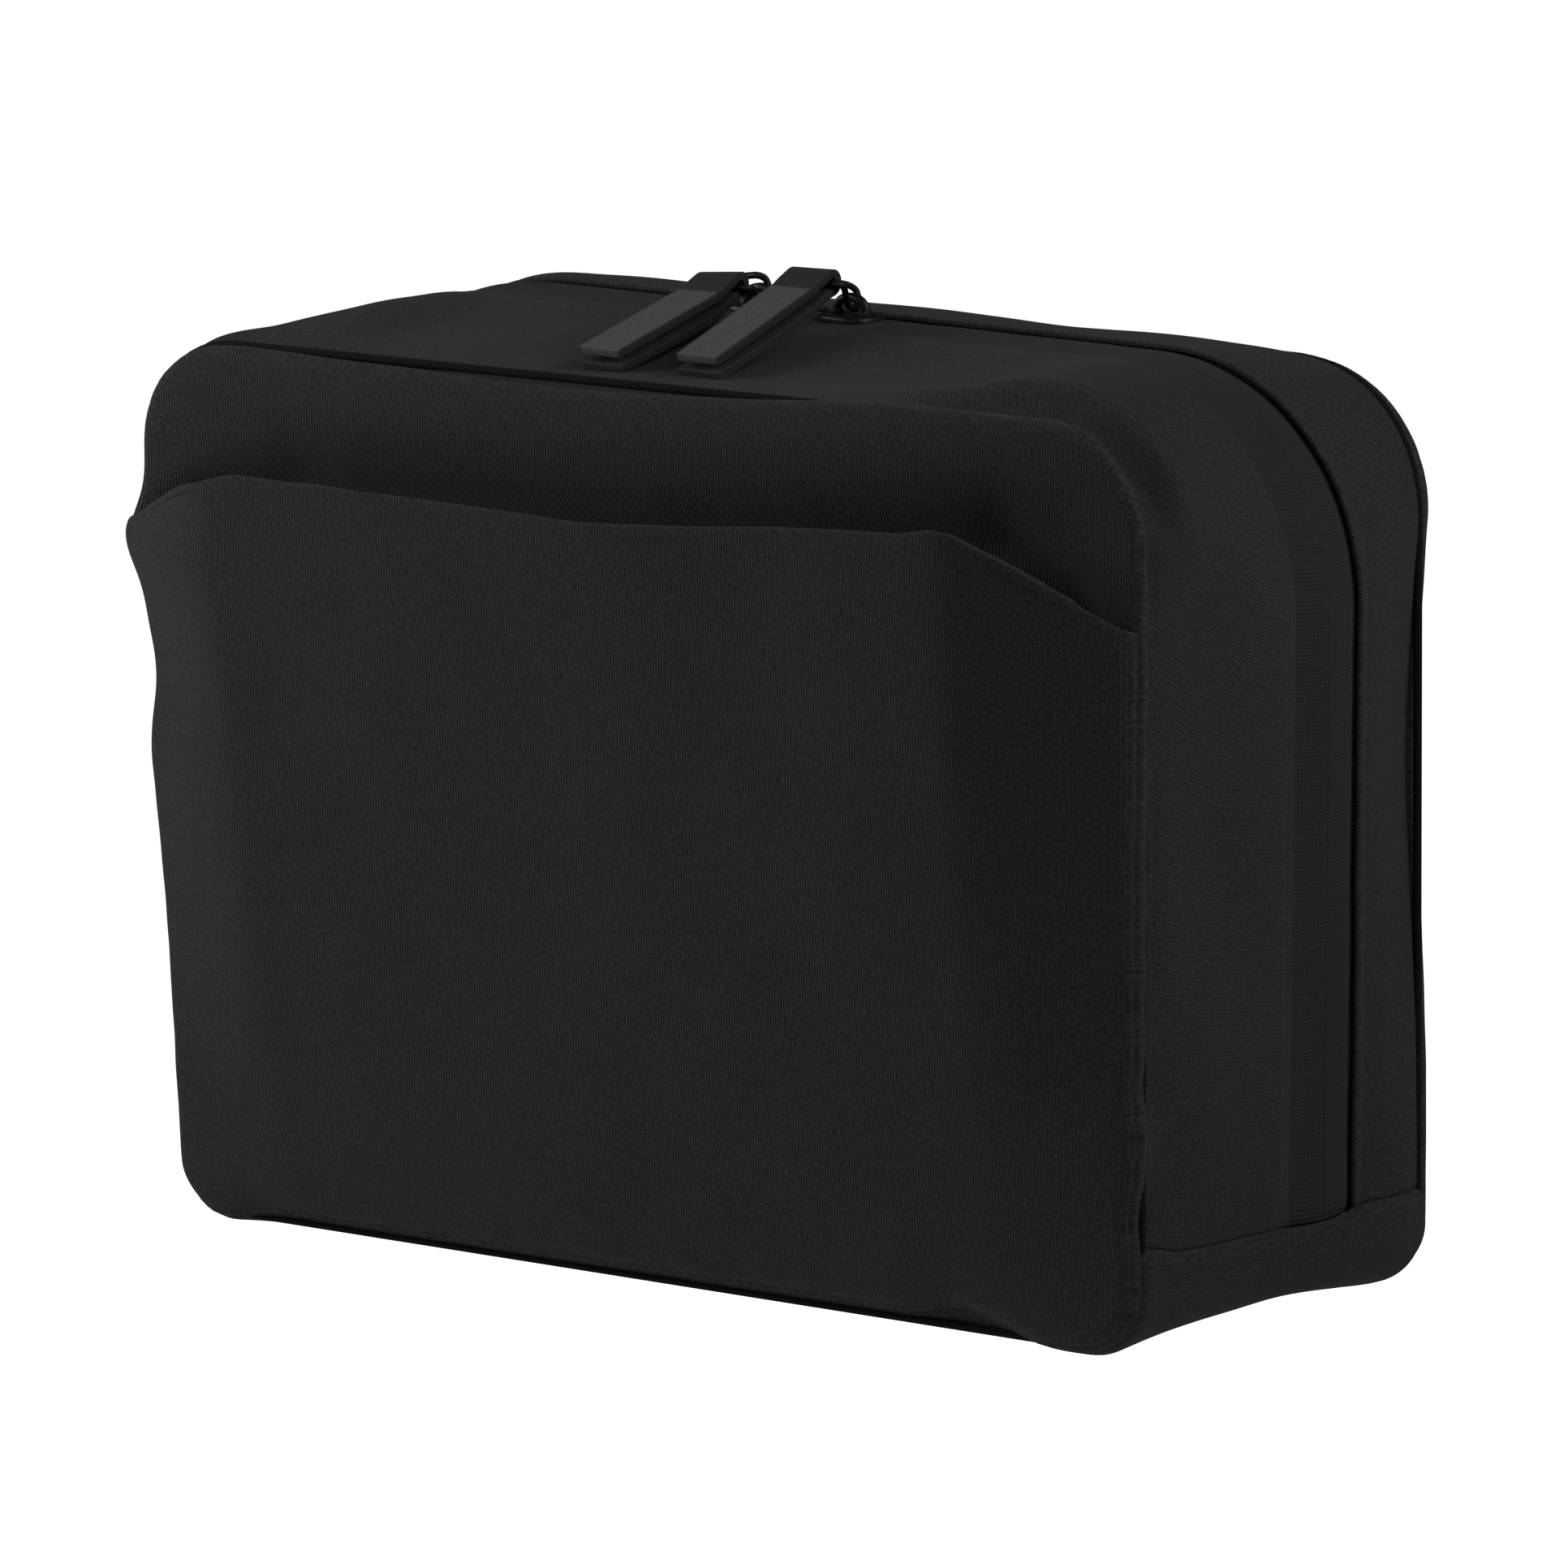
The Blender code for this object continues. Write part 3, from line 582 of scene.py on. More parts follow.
slider_metal = speckled("slider_metal", (0.020, 0.020, 0.021), 0.42, 0.5, 0.35, 0.02, metallic=0.6)
coil_nylon = speckled("coil_nylon", (0.022, 0.022, 0.023), 0.45, 0.45, 0.25, 0.02)
# Painted shade: a near-black finish, far darker than the black thread, for the cords that fill the seams'
# grooves.
seam_groove_shade = speckled("seam_groove_shade", (0.004, 0.004, 0.005), 0.9, 0.2, 0.05, 0.05)
thread_black = speckled("thread_black", (0.040, 0.040, 0.042), 0.7, 0.3, 0.12, 0.05)
zip_thread = speckled("zip_thread", (0.105, 0.105, 0.107), 0.7, 0.3, 0.12, 0.05)
mesh_cloth = knitted("mesh_cloth", (0.030, 0.030, 0.032))

# %% [markdown]
# ## Stations round the outline
#
# A strip that runs up one side, over the top and down the other is described by stations: points on
# a side, on a corner or on the top, each with its share of the way. A station can be found at any
# depth, so rows of a strip at different depths line up with each other.

# %% Stations of the arch
SIDE_RUN, CORNER_RUN, TOP_RUN = 98.0, 60.0, 130.0
SIDE_STEPS, CORNER_STEPS, TOP_STEPS = 34, 22, 44


def arch_stations():
    """Stations from the left foot to the right foot: (kind, share, side, run in millimetres)."""
    side = [step / SIDE_RUN for step in EDGE_STEPS]
    side += [side[-1] + (1 - side[-1]) * n / SIDE_STEPS for n in range(1, SIDE_STEPS)]
    half = [("side", share, SIDE_RUN * share) for share in side]
    turn = [n / CORNER_STEPS for n in range(CORNER_STEPS)]
    half += [("corner", share, SIDE_RUN + CORNER_RUN * share) for share in turn]
    flat = [n / TOP_STEPS for n in range(TOP_STEPS // 2)]
    half += [("top", 1 - share * 2, SIDE_RUN + CORNER_RUN + TOP_RUN * share) for share in flat]
    middle = SIDE_RUN + CORNER_RUN + TOP_RUN / 2
    left = [(kind, share, -1, run) for kind, share, run in half]
    right = [(kind, share, 1, 2 * middle - run) for kind, share, run in reversed(half)]
    return left + [("top", 0.0, 1, middle)] + right


ARCH_RUN = 2 * (SIDE_RUN + CORNER_RUN) + TOP_RUN
arch = arch_stations()
print("stations round the arch:", len(arch), "over", ARCH_RUN, "mm")


def on_arch(station, depth, inset):
    """Where a station is at this depth, as (x, z), with its foot's rolled end."""
    kind, share, side, _ = station
    half, top, corner = section(depth, inset)
    foot = BAND_TOP + 0.15
    if kind == "side":
        z = foot + (top - corner - foot) * share
        return side * (half - roll(z - foot)), z
    if kind == "corner":
        angle = share * math.pi / 2
        return side * (half - corner * (1 - math.cos(angle))), top - corner + corner * math.sin(angle)
    return side * (half - corner) * share, top


# %% [markdown]
# ## The front strip of the side
#
# The front gusset is one strip from foot to foot. At the front seam its border folds in and makes
# half of the seam's groove. Near the zip it dips towards the tape, and a row of stitches nearly
# 3 mm from its edge draws it down a little.

# %% Shape of the front gusset
STITCH_BACK = 2.8


def front_gusset_inset(station, depth):
    """How far the front gusset lies inside the outline."""
    kind, _, side, run = station
    inset = 0.85 * smooth((depth - GUSSET_END + 4.5) / 4.5)
    inset += 0.16 * hill(depth, GUSSET_END - STITCH_BACK, 0.6)
    loose = smooth(depth / 9) * smooth((GUSSET_END - 3 - depth) / 12)
    inset += loose * (0.75 * ripple(run, depth, 30.0, 4.0) + 0.3 * ripple(run, depth, 12.0, 9.0) - 0.35)
    inset += hill(depth, 2.0, 2.4) * (0.35 + 0.4 * ripple(run, 1.0, 7.0, 6.5))
    if kind == "side" and side < 0:
        inset -= 0.9 * hill(depth, 7, 6) * hill(run, 78, 26)
    return inset


def front_gusset_shape(station, row):
    """row is millimetres along the cloth from its hidden border."""
    depth, deep = folded(row)
    x, z = on_arch(station, depth, front_gusset_inset(station, depth) + deep)
    return place(x, depth, z), (station[3], row)


# %% Sew the front gusset
UP, DOWN = (0, 0, 1), (0, 0, -1)
LAST_ROW = GUSSET_END + FOLD_RUN - SEAM_FOLD[-1][0]
front_rows = FOLD_STEPS + [7.0 + (LAST_ROW - 12.0) * n / 15 for n in range(1, 15)]
front_rows += [LAST_ROW - step for step in (5.0, 3.4, 2.8, 2.2, 1.6, 0.9, 0.4, 0.12, 0.0)]
front_gusset = wall(sheet_of("front_gusset_cloth", arch, front_rows, front_gusset_shape, UP))
belongs(front_gusset, "front_half", shell_cloth, "shell", "front_gusset")
print("front gusset:", len(front_gusset.data.polygons), "faces")

# %% [markdown]
# ## The rear strip and its lip
#
# Behind the zip the rear gusset is folded forward over the tape and stitched down. The fold stands
# up as a round lip with a dark gap under it, so the strip is shaped as a hairpin: it starts deep
# under the lip, comes round the fold and runs back to the rear seam.

# %% Sew the rear gusset
LIP_REACH = 0.55
LIP_STITCH = 2.3
LIP_SINK = 0.35


def rear_gusset_shape(station, row):
    """row is millimetres along the cloth from the fold: negative rows are tucked under it."""
    run = station[3]
    if row < math.pi * LIP_REACH:
        angle = max(0.0, row) / LIP_REACH
        depth = LIP_START + LIP_REACH * (1 - math.sin(angle)) + max(0.0, -row)
        inset = LIP_REACH * (1 + math.cos(angle)) + LIP_SINK
    else:
        behind, deep = folded(rear_end - row)
        depth = DEPTH - behind
        inset = deep + LIP_SINK * smooth((LIP_START + 9 - depth) / 8)
        inset += 0.22 * hill(depth, LIP_START + LIP_STITCH, 0.6)
        loose = smooth((depth - LIP_START - 4) / 5) * smooth((DEPTH - 1.5 - depth) / 5)
        inset += loose * (0.6 * ripple(run, depth, 24.0, 14.0) - 0.35)
    x, z = on_arch(station, depth, inset)
    return place(x, depth + 0.45 * ripple(run, 4.0, 14.0, 8.8), z), (run, depth)


rear_rows = [-2.0, -1.0] + [math.pi * LIP_REACH * n / 7 for n in range(8)]
rear_end = DEPTH - SEAM_FOLD[-1][0] - LIP_START - LIP_REACH + math.pi * LIP_REACH + FOLD_RUN
rear_rows += [rear_rows[-1] + step for step in (0.5, 1.0, 1.5, 2.0, 2.6, 3.4)]
rear_rows += [rear_rows[-1] + (rear_end - 7.0 - rear_rows[-1]) * n / 6 for n in range(1, 6)]
rear_rows += [rear_end - step for step in reversed(FOLD_STEPS)]
rear_gusset = wall(sheet_of("rear_gusset_cloth", arch, rear_rows, rear_gusset_shape, UP), 0.8)
belongs(rear_gusset, "rear_half", shell_cloth, "shell", "rear_gusset")

# %% [markdown]
# ## The zip
#
# This is a reversed coil zip: the teeth are on the inside, and outside one sees two flat tapes whose
# edges meet, with the thread that holds the coil showing as rows of small slanted stitches. The
# stitches are real geometry: one short round stitch is modelled, then copied along the tape.

# %% Sew the two tapes
TAPE_MEET = 0.02
TAPE_RISE, TAPE_RISE_SPREAD = 0.55, 4.2


def tape_rise(depth):
    """How far the tapes stand up where they meet."""
    return TAPE_RISE * hill(depth, ZIP_DEPTH, TAPE_RISE_SPREAD)


def tape_shape(station, depth):
    """The tape lies flat under both gussets, and dives under the lip."""
    inset = TAPE_INSET + 0.9 * smooth((depth - LIP_START + 1.9) / 1.6)
    inset += 0.10 * ripple(station[3], depth, 9.0, 12.0) - tape_rise(depth)
    x, z = on_arch(station, depth, inset)
    return place(x, depth, z), (station[3], depth)


def tape(name, low, high, body, solid):
    """One flat tape between two depths."""
    depths = [low + (high - low) * n / 10 for n in range(11)]
    depths[1:1] = [low + 0.08, low + 0.3]
    depths[-1:-1] = [high - 0.3, high - 0.08]
    piece = wall(sheet_of(name, arch, depths, tape_shape, UP), 0.55)
    belongs(piece, body, zip_cloth, "zip", solid)


front_tape_ends = (GUSSET_END - 2.3, ZIP_DEPTH - TAPE_MEET)
tape("front_zip_tape_cloth", *front_tape_ends, "front_half", "front_zip_tape")
rear_tape_ends = (ZIP_DEPTH + TAPE_MEET, LIP_START + 2.3)
tape("rear_zip_tape_cloth", *rear_tape_ends, "rear_half", "rear_zip_tape")

# %% [markdown]
# To copy a stitch along a path, we need the path's point, its forward direction and the way out of
# the cloth at each step. The outline gives all three: the next station gives forward, and a smaller
# inset gives the way out.

# %% Rows of stitches
def arch_point(run, depth, inset):
    """The place this many millimetres round the arch, found between two stations."""
    for before, after in zip(arch, arch[1:]):
        if run <= after[3] + 1e-9:
            share = (run - before[3]) / (after[3] - before[3])
            a, b = (place_on_arch(station, depth, inset) for station in (before, after))
            return a.lerp(b, min(1.0, max(0.0, share)))
    return place_on_arch(arch[-1], depth, inset)


def place_on_arch(station, depth, inset):
    """A station's place on the pouch, in metres."""
    x, z = on_arch(station, depth, inset)
    return place(x, depth, z)


def frame_at(here, forward, out):
    """A matrix at this place whose X runs forward and whose Z points out."""
    forward, out = forward.normalized(), out.normalized()
    across = out.cross(forward).normalized()
    turned = Matrix((forward, across, forward.cross(across))).transposed().to_4x4()
    return Matrix.Translation(here) @ turned


def stitch_frame(run, depth, inset, turn=0.0):
    """The frame of a stitch on the arch, turned by an angle in the cloth."""
    here = arch_point(run, depth, inset)
    ahead = arch_point(min(run + 1, ARCH_RUN), depth, inset)
    behind = arch_point(max(0.0, run - 1), depth, inset)
    out = arch_point(run, depth, inset - 1) - here
    return frame_at(here, ahead - behind, out) @ Matrix.Rotation(turn, 4, "Z")


def one_stitch(length, thick):
    """A short round stitch, as points and faces about its own middle."""
    bpy.ops.object.select_all(action="DESELECT")
    bpy.ops.mesh.primitive_uv_sphere_add(segments=8, ring_count=5, radius=0.5, rotation=(0, math.pi / 2, 0))
    pattern = bpy.context.object
    pattern.scale = (thick * MM, thick * MM, length * MM)
    bpy.ops.object.transform_apply(location=False, rotation=True, scale=True)
    points = [vertex.co.copy() for vertex in pattern.data.vertices]
    faces = [tuple(face.vertices) for face in pattern.data.polygons]
    bpy.data.objects.remove(pattern)
    return points, faces


def stitch_row(name, frames, length, thick):
    """One object with a copy of the stitch at each frame."""
    points, faces = one_stitch(length, thick)
    all_points, all_faces = [], []
    for matrix in frames:
        start = len(all_points)
        all_points += [matrix @ point for point in points]
        all_faces += [tuple(start + index for index in face) for face in faces]
    mesh = bpy.data.meshes.new(name)
    mesh.from_pydata(all_points, [], all_faces)
    row = bpy.data.objects.new(name, mesh)
    bpy.context.scene.collection.objects.link(row)
    only(row)
    bpy.ops.object.shade_smooth()
    return row


def steps(low, high, pitch):
    """Evenly spaced places from low to high."""
    count = int((high - low) / pitch)
    return [low + pitch * (n + 0.5) for n in range(count)]


# %% Chain stitches that hold the coil
CHAIN_PITCH = 1.05
CHAIN_COLUMNS = (0.5, 1.5, 2.5, 3.5)


def chain(name, side, body):
    """Slanted stitches in columns beside the line where the tapes meet. side is -1 in front, 1 behind."""
    frames = []
    for number, offset in enumerate(CHAIN_COLUMNS):
        slant = math.radians(38) * side * (1 if number % 2 else -1)
        depth = ZIP_DEPTH + side * offset
        for run in steps(1.5, ARCH_RUN - 1.5, CHAIN_PITCH):
            inset = TAPE_INSET - 0.1 - tape_rise(depth)
            frames.append(stitch_frame(run + 0.5 * CHAIN_PITCH * (number % 2), depth, inset, slant))
    row = stitch_row(name, frames, 1.35, 0.5)
    return belongs(row, body, zip_thread, "zip")


front_chain = chain("front_zip_chain_stitches", -1, "front_half")
rear_chain = chain("rear_zip_chain_stitches", 1, "rear_half")
print("chain stitches:", len(front_chain.data.polygons) + len(rear_chain.data.polygons), "faces")

# %% Topstitching beside the zip
EDGE_STITCH = 2.2


def topstitch(name, depth, inset, body, length):
    """A row of stitches round the arch."""
    frames = [stitch_frame(run, depth, inset) for run in steps(3, ARCH_RUN - 3, EDGE_STITCH)]
    row = stitch_row(name, frames, length, 0.30)
    return belongs(row, body, thread_black, "binding")


topstitch("front_gusset_topstitch", GUSSET_END - STITCH_BACK, 0.60, "front_half", 1.5)
topstitch("rear_gusset_topstitch", LIP_START + LIP_STITCH, 0.55, "rear_half", 1.5)

# %% [markdown]
# ## The coil
#
# Inside, each tape carries one nylon coil. It is a wire wound round a cord, so it is drawn as a
# helix that follows the outline, and given the wire's thickness by a curve bevel.

# %% Wind the two coils
COIL_RADIUS, COIL_WIRE, COIL_POINTS = 0.75, 0.26, 8


def wire(name, points, radius, cyclic=False, resolution=1):
    """A round wire along points in metres, made a mesh."""
    curve = bpy.data.curves.new(name, "CURVE")
    curve.dimensions = "3D"
    curve.bevel_depth = radius * MM
    curve.bevel_resolution = resolution
    curve.use_fill_caps = True
    spline = curve.splines.new("POLY")
    spline.points.add(len(points) - 1)
    for spot, point in zip(spline.points, points):
        spot.co = (*point, 1.0)
    spline.use_cyclic_u = cyclic
    piece = bpy.data.objects.new(name, curve)
    bpy.context.scene.collection.objects.link(piece)
    only(piece)
    bpy.ops.object.convert(target="MESH")
    piece = bpy.context.object
    bpy.ops.object.shade_smooth()
    return piece


def coil(name, side, body, solid):
    """A helix of wire under the tape. side is -1 in front of the zip's line, 1 behind it."""
    depth, inset = ZIP_DEPTH + side * 1.35, TAPE_INSET + 0.75 + COIL_RADIUS
    points = []
    for run in steps(1.5, ARCH_RUN - 1.5, CHAIN_PITCH):
        matrix = stitch_frame(run, depth, inset)
        for n in range(COIL_POINTS):
            angle = 2 * math.pi * n / COIL_POINTS
            along = CHAIN_PITCH * n / COIL_POINTS
            turn = Vector((along, 1.35 * COIL_RADIUS * math.cos(angle), COIL_RADIUS * math.sin(angle)))
            points.append(matrix @ (turn * MM))
    return belongs(wire(name, points, COIL_WIRE, resolution=0), body, coil_nylon, "zip", solid)


front_coil = coil("front_zip_coil_teeth", -1, "front_half", "front_zip_coil")
coil("rear_zip_coil_teeth", 1, "rear_half", "rear_zip_coil")
print("coil faces:", len(front_coil.data.polygons))

# %% [markdown]
# ## Panels
#
# The front and back panels are padded: cloth outside, a foam board, and a lining. All three are the
# same shape at different depths, so one recipe makes them. Columns of points run between the
# rounded bottom edge and the rounded top edge, and the border of the cloths curls back into the
# seam. Behind the mouth of the outside pocket the front panel is drawn in, so the mouth's height is
# needed first.

# %% A padded panel's shape
FRONT_CROWN, BACK_CROWN, RECESS = 7.0, 3.8, 5.8
POCKET_SHOULDER, MOUTH_Z, MOUTH_END = 29.0, 132.0, 119.0


def shoulder(x):
    """0 at the seams, 1 between the two shoulders of the mouth."""
    return min(1.0, max(0.0, FRONT_HALF - abs(x)) / POCKET_SHOULDER)


def mouth_z(x):
    """The mouth's edge: soft corners at the shoulders, and slight waves in the cloth."""
    share = shoulder(x)
    peak = 1.3 * hill(x, 80, 5) + 1.6 * hill(x, 89, 8) - 0.9 * hill(x, 10, 38)
    peak -= 1.6 * hill(x, -80, 5) * (x < 0)
    return MOUTH_END + (MOUTH_Z - MOUTH_END) * share + peak + 0.3 * ripple(x, 4.0, 12.0, 41.0) * share


def crown(amount, x, z):
    """How far a panel stands out at this place: all of it in the middle, none at the seam."""
    across = min(1.0, abs(x) / FRONT_HALF)
    height = min(1.0, abs(z - FRONT_TOP / 2) / (FRONT_TOP / 2))
    full = amount * (1 - across**2.5) * (1 - height**2.5)
    if amount == -FRONT_CROWN:
        edge = smooth((FRONT_HALF - abs(x)) / 14)
        full += RECESS * hill(z, mouth_z(x) - 6, 7) * edge - 0.8 * hill(z, 143, 5) * edge
    return full


def rounded(x, half, corner):
    """How far a rounded corner has cut in at this x."""
    over = min(corner, abs(x) - (half - corner))
    return 0.0 if over <= 0 else corner - math.sqrt(corner**2 - over**2)


def seam_distance(x, z, half, top, corner):
    """How far inside a panel's outline a point lies, and the direction (x, z) to the outline."""
    radius = corner if z > top / 2 else FOOT_CORNER
    over, above = abs(x) - (half - radius), abs(z - top / 2) - (top / 2 - radius)
    right, up = (1 if x > 0 else -1), (1 if z > top / 2 else -1)
    if over > 0 and above > 0:
        far = math.hypot(over, above)
        return radius - far, (right * over / far, up * above / far)
    if over > above:
        return half - abs(x), (right, 0.0)
    return top / 2 - abs(z - top / 2), (0.0, up)


CURL = 0.9


def curled(x, z, inside, way):
    """Turn a panel's border round and back under itself. It gives x, z and how far back."""
    if inside >= CURL:
        return x, z, 0.0
    angle = (1 - inside / CURL) * math.radians(135)
    shift = CURL * math.sin(angle) - (CURL - inside)
    back = CURL * (1 - math.cos(angle))
    if inside < 0.25 * CURL:
        tail = 1.1 * (1 - inside / (0.25 * CURL))
        shift, back = shift - tail * 0.7, back + tail * 0.7
    return x + way[0] * shift, z + way[1] * shift, back


def panel(name, depth, inset, offset, crown_amount, thickness, curls, outward, loose=0.0):
    """A crowned sheet across the outline. offset is its face's distance from the seam's plane."""
    half, top, corner = section(depth, inset)
    columns = spaced(-half, half, 58)
    rows = [n / 100 for n in (0, 0.3, 0.8, 1.6, 3, 5)] + [0.05 + 0.9 * n / 40 for n in range(1, 40)]
    rows += [1 - n / 100 for n in (5, 3, 1.6, 0.8, 0.3, 0)]
    way = 1 if outward[1] < 0 else -1

    def shape(x, share):
        low, high = inset + rounded(x, half, FOOT_CORNER - inset), top - rounded(x, half, corner)
        z = low + (high - low) * share
        inside, toward = seam_distance(x, z, half, top, corner)
        slack = loose * smooth(inside / 14) * (ripple(x, z, 42.0, 21.0) + 0.35 * ripple(x, z, 17.0, 25.0))
        slack += loose * 0.45 * hill(inside, 4, 4) * ripple(x + z, x - z, 9.0, 31.0)
        out = offset + crown(crown_amount, x, z) + way * slack
        if not curls:
            return place(x, depth + out, z), (x, z)
        new_x, new_z, turned = curled(x, z, inside, toward)
        return place(new_x, depth + out + way * turned, new_z), (x, z)

    return wall(sheet_of(name, columns, rows, shape, outward), thickness)


# %% Sew the front and back panels
TOWARD_FRONT, TOWARD_BACK = (0, -1, 0), (0, 1, 0)
# Each row: the name's ending, inset, offset towards the inside, thickness, whether its border curls,
# looseness, finish, slot, the solid it stands for, and fill.
LAYERS = (
    ("panel_cloth", 0.5, -1.3, 1.0, True, (0.8, 0.7), shell_cloth, "shell", "panel", 0.35),
    ("foam_board", 4.5, None, 2.8, False, (0.0, 0.0), foam_board, "foam", "foam", 0.3),
    ("lining_cloth", 2.6, 4.4, 0.7, True, (0.25, 0.25), lining_cloth, "lining", "lining", 0.2),
)
FOAM_OFFSETS = (0.3, -3.2)
WALLS = (("front", "front_half", 0.0, -FRONT_CROWN, 1), ("back", "rear_half", DEPTH, BACK_CROWN, -1))
for number, (place_name, body, depth, fullness, inward) in enumerate(WALLS):
    for ending, inset, offset, thickness, curls, slack, material, slot, solid, fill in LAYERS:
        offset = FOAM_OFFSETS[number] if offset is None else offset * inward
        if solid == "foam":
            outward = TOWARD_FRONT
        else:
            outward = TOWARD_FRONT if (solid == "panel") == (inward > 0) else TOWARD_BACK
        layer = panel(
            f"{place_name}_{ending}", depth, inset, offset, fullness, thickness, curls, outward, slack[number]
        )
        belongs(layer, body, material, slot, f"{place_name}_{solid}")

# %% [markdown]
# ## The outside pocket
#
# The pocket is one sheet sewn into the seam at both sides and along the bottom. Its mouth is cut
# straight, with a chamfer down to each seam, and it stands well off the panel because it has more
# width than the panel behind it. A narrow bound edge follows each chamfer.

# %% Shape of the pocket
POCKET_BULGE, POCKET_FACE = 16.9, 3.2


def pocket_out(x, z):
    """How far the pocket stands off the seam's plane."""
    share = shoulder(x)
    eased = share * (1.28 - 0.28 * share * share)
    bulge = POCKET_BULGE * eased * max(0.0, z / MOUTH_Z) ** 0.75
    slack = 0.9 * ripple(x, z, 48.0, 51.0) + 0.35 * ripple(x, z, 19.0, 55.0)
    return max(bulge, crown(FRONT_CROWN, x, z)) + smooth(z / 22) * smooth(share * 2.2) * slack


def pocket_shape(x, share):
    """share is the way up from the bottom seam to the mouth."""
    half = FRONT_HALF - 0.2
    low, high = 0.2 + rounded(x, half, FOOT_CORNER), mouth_z(x)
    z = low + (high - low) * share
    inside = min(half - abs(x), z - low)
    toward = (1 if x > 0 else -1, 0.0) if half - abs(x) < z - low else (0.0, -1.0)
    new_x, new_z, turned = curled(x, z, inside, toward)
    pulls = 0.35 * hill(inside, 4, 4) * ripple(x + z, x - z, 8.0, 61.0)
    out = pocket_out(x, z) + 0.9 * smooth(inside / 2)
    return place(new_x, 0.9 - POCKET_FACE - out + 1.6 * turned + pulls, new_z), (x, z)


pocket_columns = spaced(-FRONT_HALF + 0.2, FRONT_HALF - 0.2, 72)
pocket_rows = [n / 100 for n in (0, 0.3, 0.8, 1.6, 3, 5)] + [0.05 + 0.9 * n / 46 for n in range(1, 46)]
pocket_rows += [0.95, 0.97, 0.982, 0.99, 1.0]

# %% Sew the pocket
front_pocket = sheet_of("front_pocket_cloth", pocket_columns, pocket_rows, pocket_shape, TOWARD_FRONT)
wall(front_pocket, 1.1)
belongs(front_pocket, "front_half", shell_cloth, "shell", "front_pocket")

# %% The facing inside the mouth, and the bound chamfers
FACING = 10.0


def facing_shape(x, share):
    """share is the way up the facing, which hangs from the mouth."""
    z = mouth_z(x) - 0.9 - FACING * (1 - share)
    return place(x, -POCKET_FACE - pocket_out(x, z) + 1.25, z), (x, z)


facing_columns = [-93 + 186 * n / 60 for n in range(61)]
facing_rows = [0, 0.06, 0.2, 0.4, 0.6, 0.8, 0.94, 1.0]
facing = wall(sheet_of("front_pocket_facing", facing_columns, facing_rows, facing_shape, TOWARD_BACK), 0.5)
belongs(facing, "front_half", binding_tape, "binding", "front_pocket_hem")


def chamfer_binding(name, start, end):
    """A narrow folded strip round the pocket's edge, between two places across it."""

    def shape(x, around):
        full = smooth((x - start) / 1.5) * smooth((end - x) / 1.5)
        z = mouth_z(x) - 0.3 + 0.4 * full - 1.5 * max(0.0, abs(around) - 0.35)
        side = 0.2 - 0.36 * full if around < 0 else 0.8 + 0.5 * full
        middle = 0.55
        out = middle + (side - middle) * min(1.0, abs(around) / 0.3)
        return place(x, -POCKET_FACE - pocket_out(x, z) + out, z), (x, around * 2)

    columns = [start + (end - start) * n / 26 for n in range(27)]
    around = [-1.4, -1.2, -0.9, -0.5, -0.3, -0.12, 0.12, 0.3, 0.5, 0.9, 1.2, 1.4]
    return wall(sheet_of(name, columns, around, shape, UP), 0.2)


bindings = [
    chamfer_binding("left_pocket_binding", -101.0, -80.5),
    chamfer_binding("right_pocket_binding", 80.5, 101.0),
]
for strip in bindings:
    belongs(strip, "front_half", shell_cloth, "shell")

# %% [markdown]
# ## The bottom strip
#
# One strip closes the bottom and turns up the sides to the zip's ends. It is the hinge: the front
# half folds forward on it. Here it is attached to neither body. Between its feet the cloth arches off
# the table.

# %% Stations of the bottom strip
BOTTOM_SIDE = BAND_TOP - 0.15 - FOOT_CORNER


def bottom_stations():
    """Stations from the top of the left side, round the foot, to the top of the right side."""
    half = [("side", step, step) for step in (0.0, 0.3, 0.7, 1.2, 1.9, 2.9, 4.2)]
    quarter = FOOT_CORNER * math.pi / 2
    half += [("corner", n / 8, BOTTOM_SIDE + quarter * n / 8) for n in range(9)]
    start = BOTTOM_SIDE + quarter
    half += [("flat", 1 - n / 24, start + n * 4.05) for n in range(1, 24)]
    left = [(kind, share, -1, run) for kind, share, run in half]
    middle = start + 24 * 4.05
    right = [(kind, share, 1, 2 * middle - run) for kind, share, run in reversed(half)]
    return left + [("flat", 0.0, 1, middle)] + right


bottom = bottom_stations()


def on_bottom(station, depth, inset):
    """Where a station of the bottom strip is at this depth, as (x, z)."""
    kind, share, side, _ = station
    half, _, _ = section(depth, inset)
    corner = FOOT_CORNER - inset
    arching = UNDERSIDE_ARCH * math.sin(math.pi * min(1.0, max(0.0, depth) / DEPTH)) ** 1.3
    if kind == "side":
        z = BAND_TOP - 0.15 - share
        return side * (half - roll(share)), z
    if kind == "corner":
        angle = share * math.pi / 2
        lift = arching * smooth(share)
        return side * (half - corner * (1 - math.cos(angle))), inset + corner * (1 - math.sin(angle)) + lift
    return side * (half - corner) * share, inset + arching


def bottom_inset(station, depth):
    """How far the bottom strip lies inside the outline."""
    run = station[3]
    loose = smooth(depth / 8) * smooth((DEPTH - depth) / 8)
    inset = loose * (0.45 * ripple(run, depth, 22.0, 71.0) - 0.1)
    if station[0] != "flat":
        inset += 0.25 * hill(run if run < 60 else bottom[-1][3] - run, 2.9, 0.6)
    return inset


BOTTOM_RUN = DEPTH - 2 * SEAM_FOLD[-1][0] + 2 * FOLD_RUN


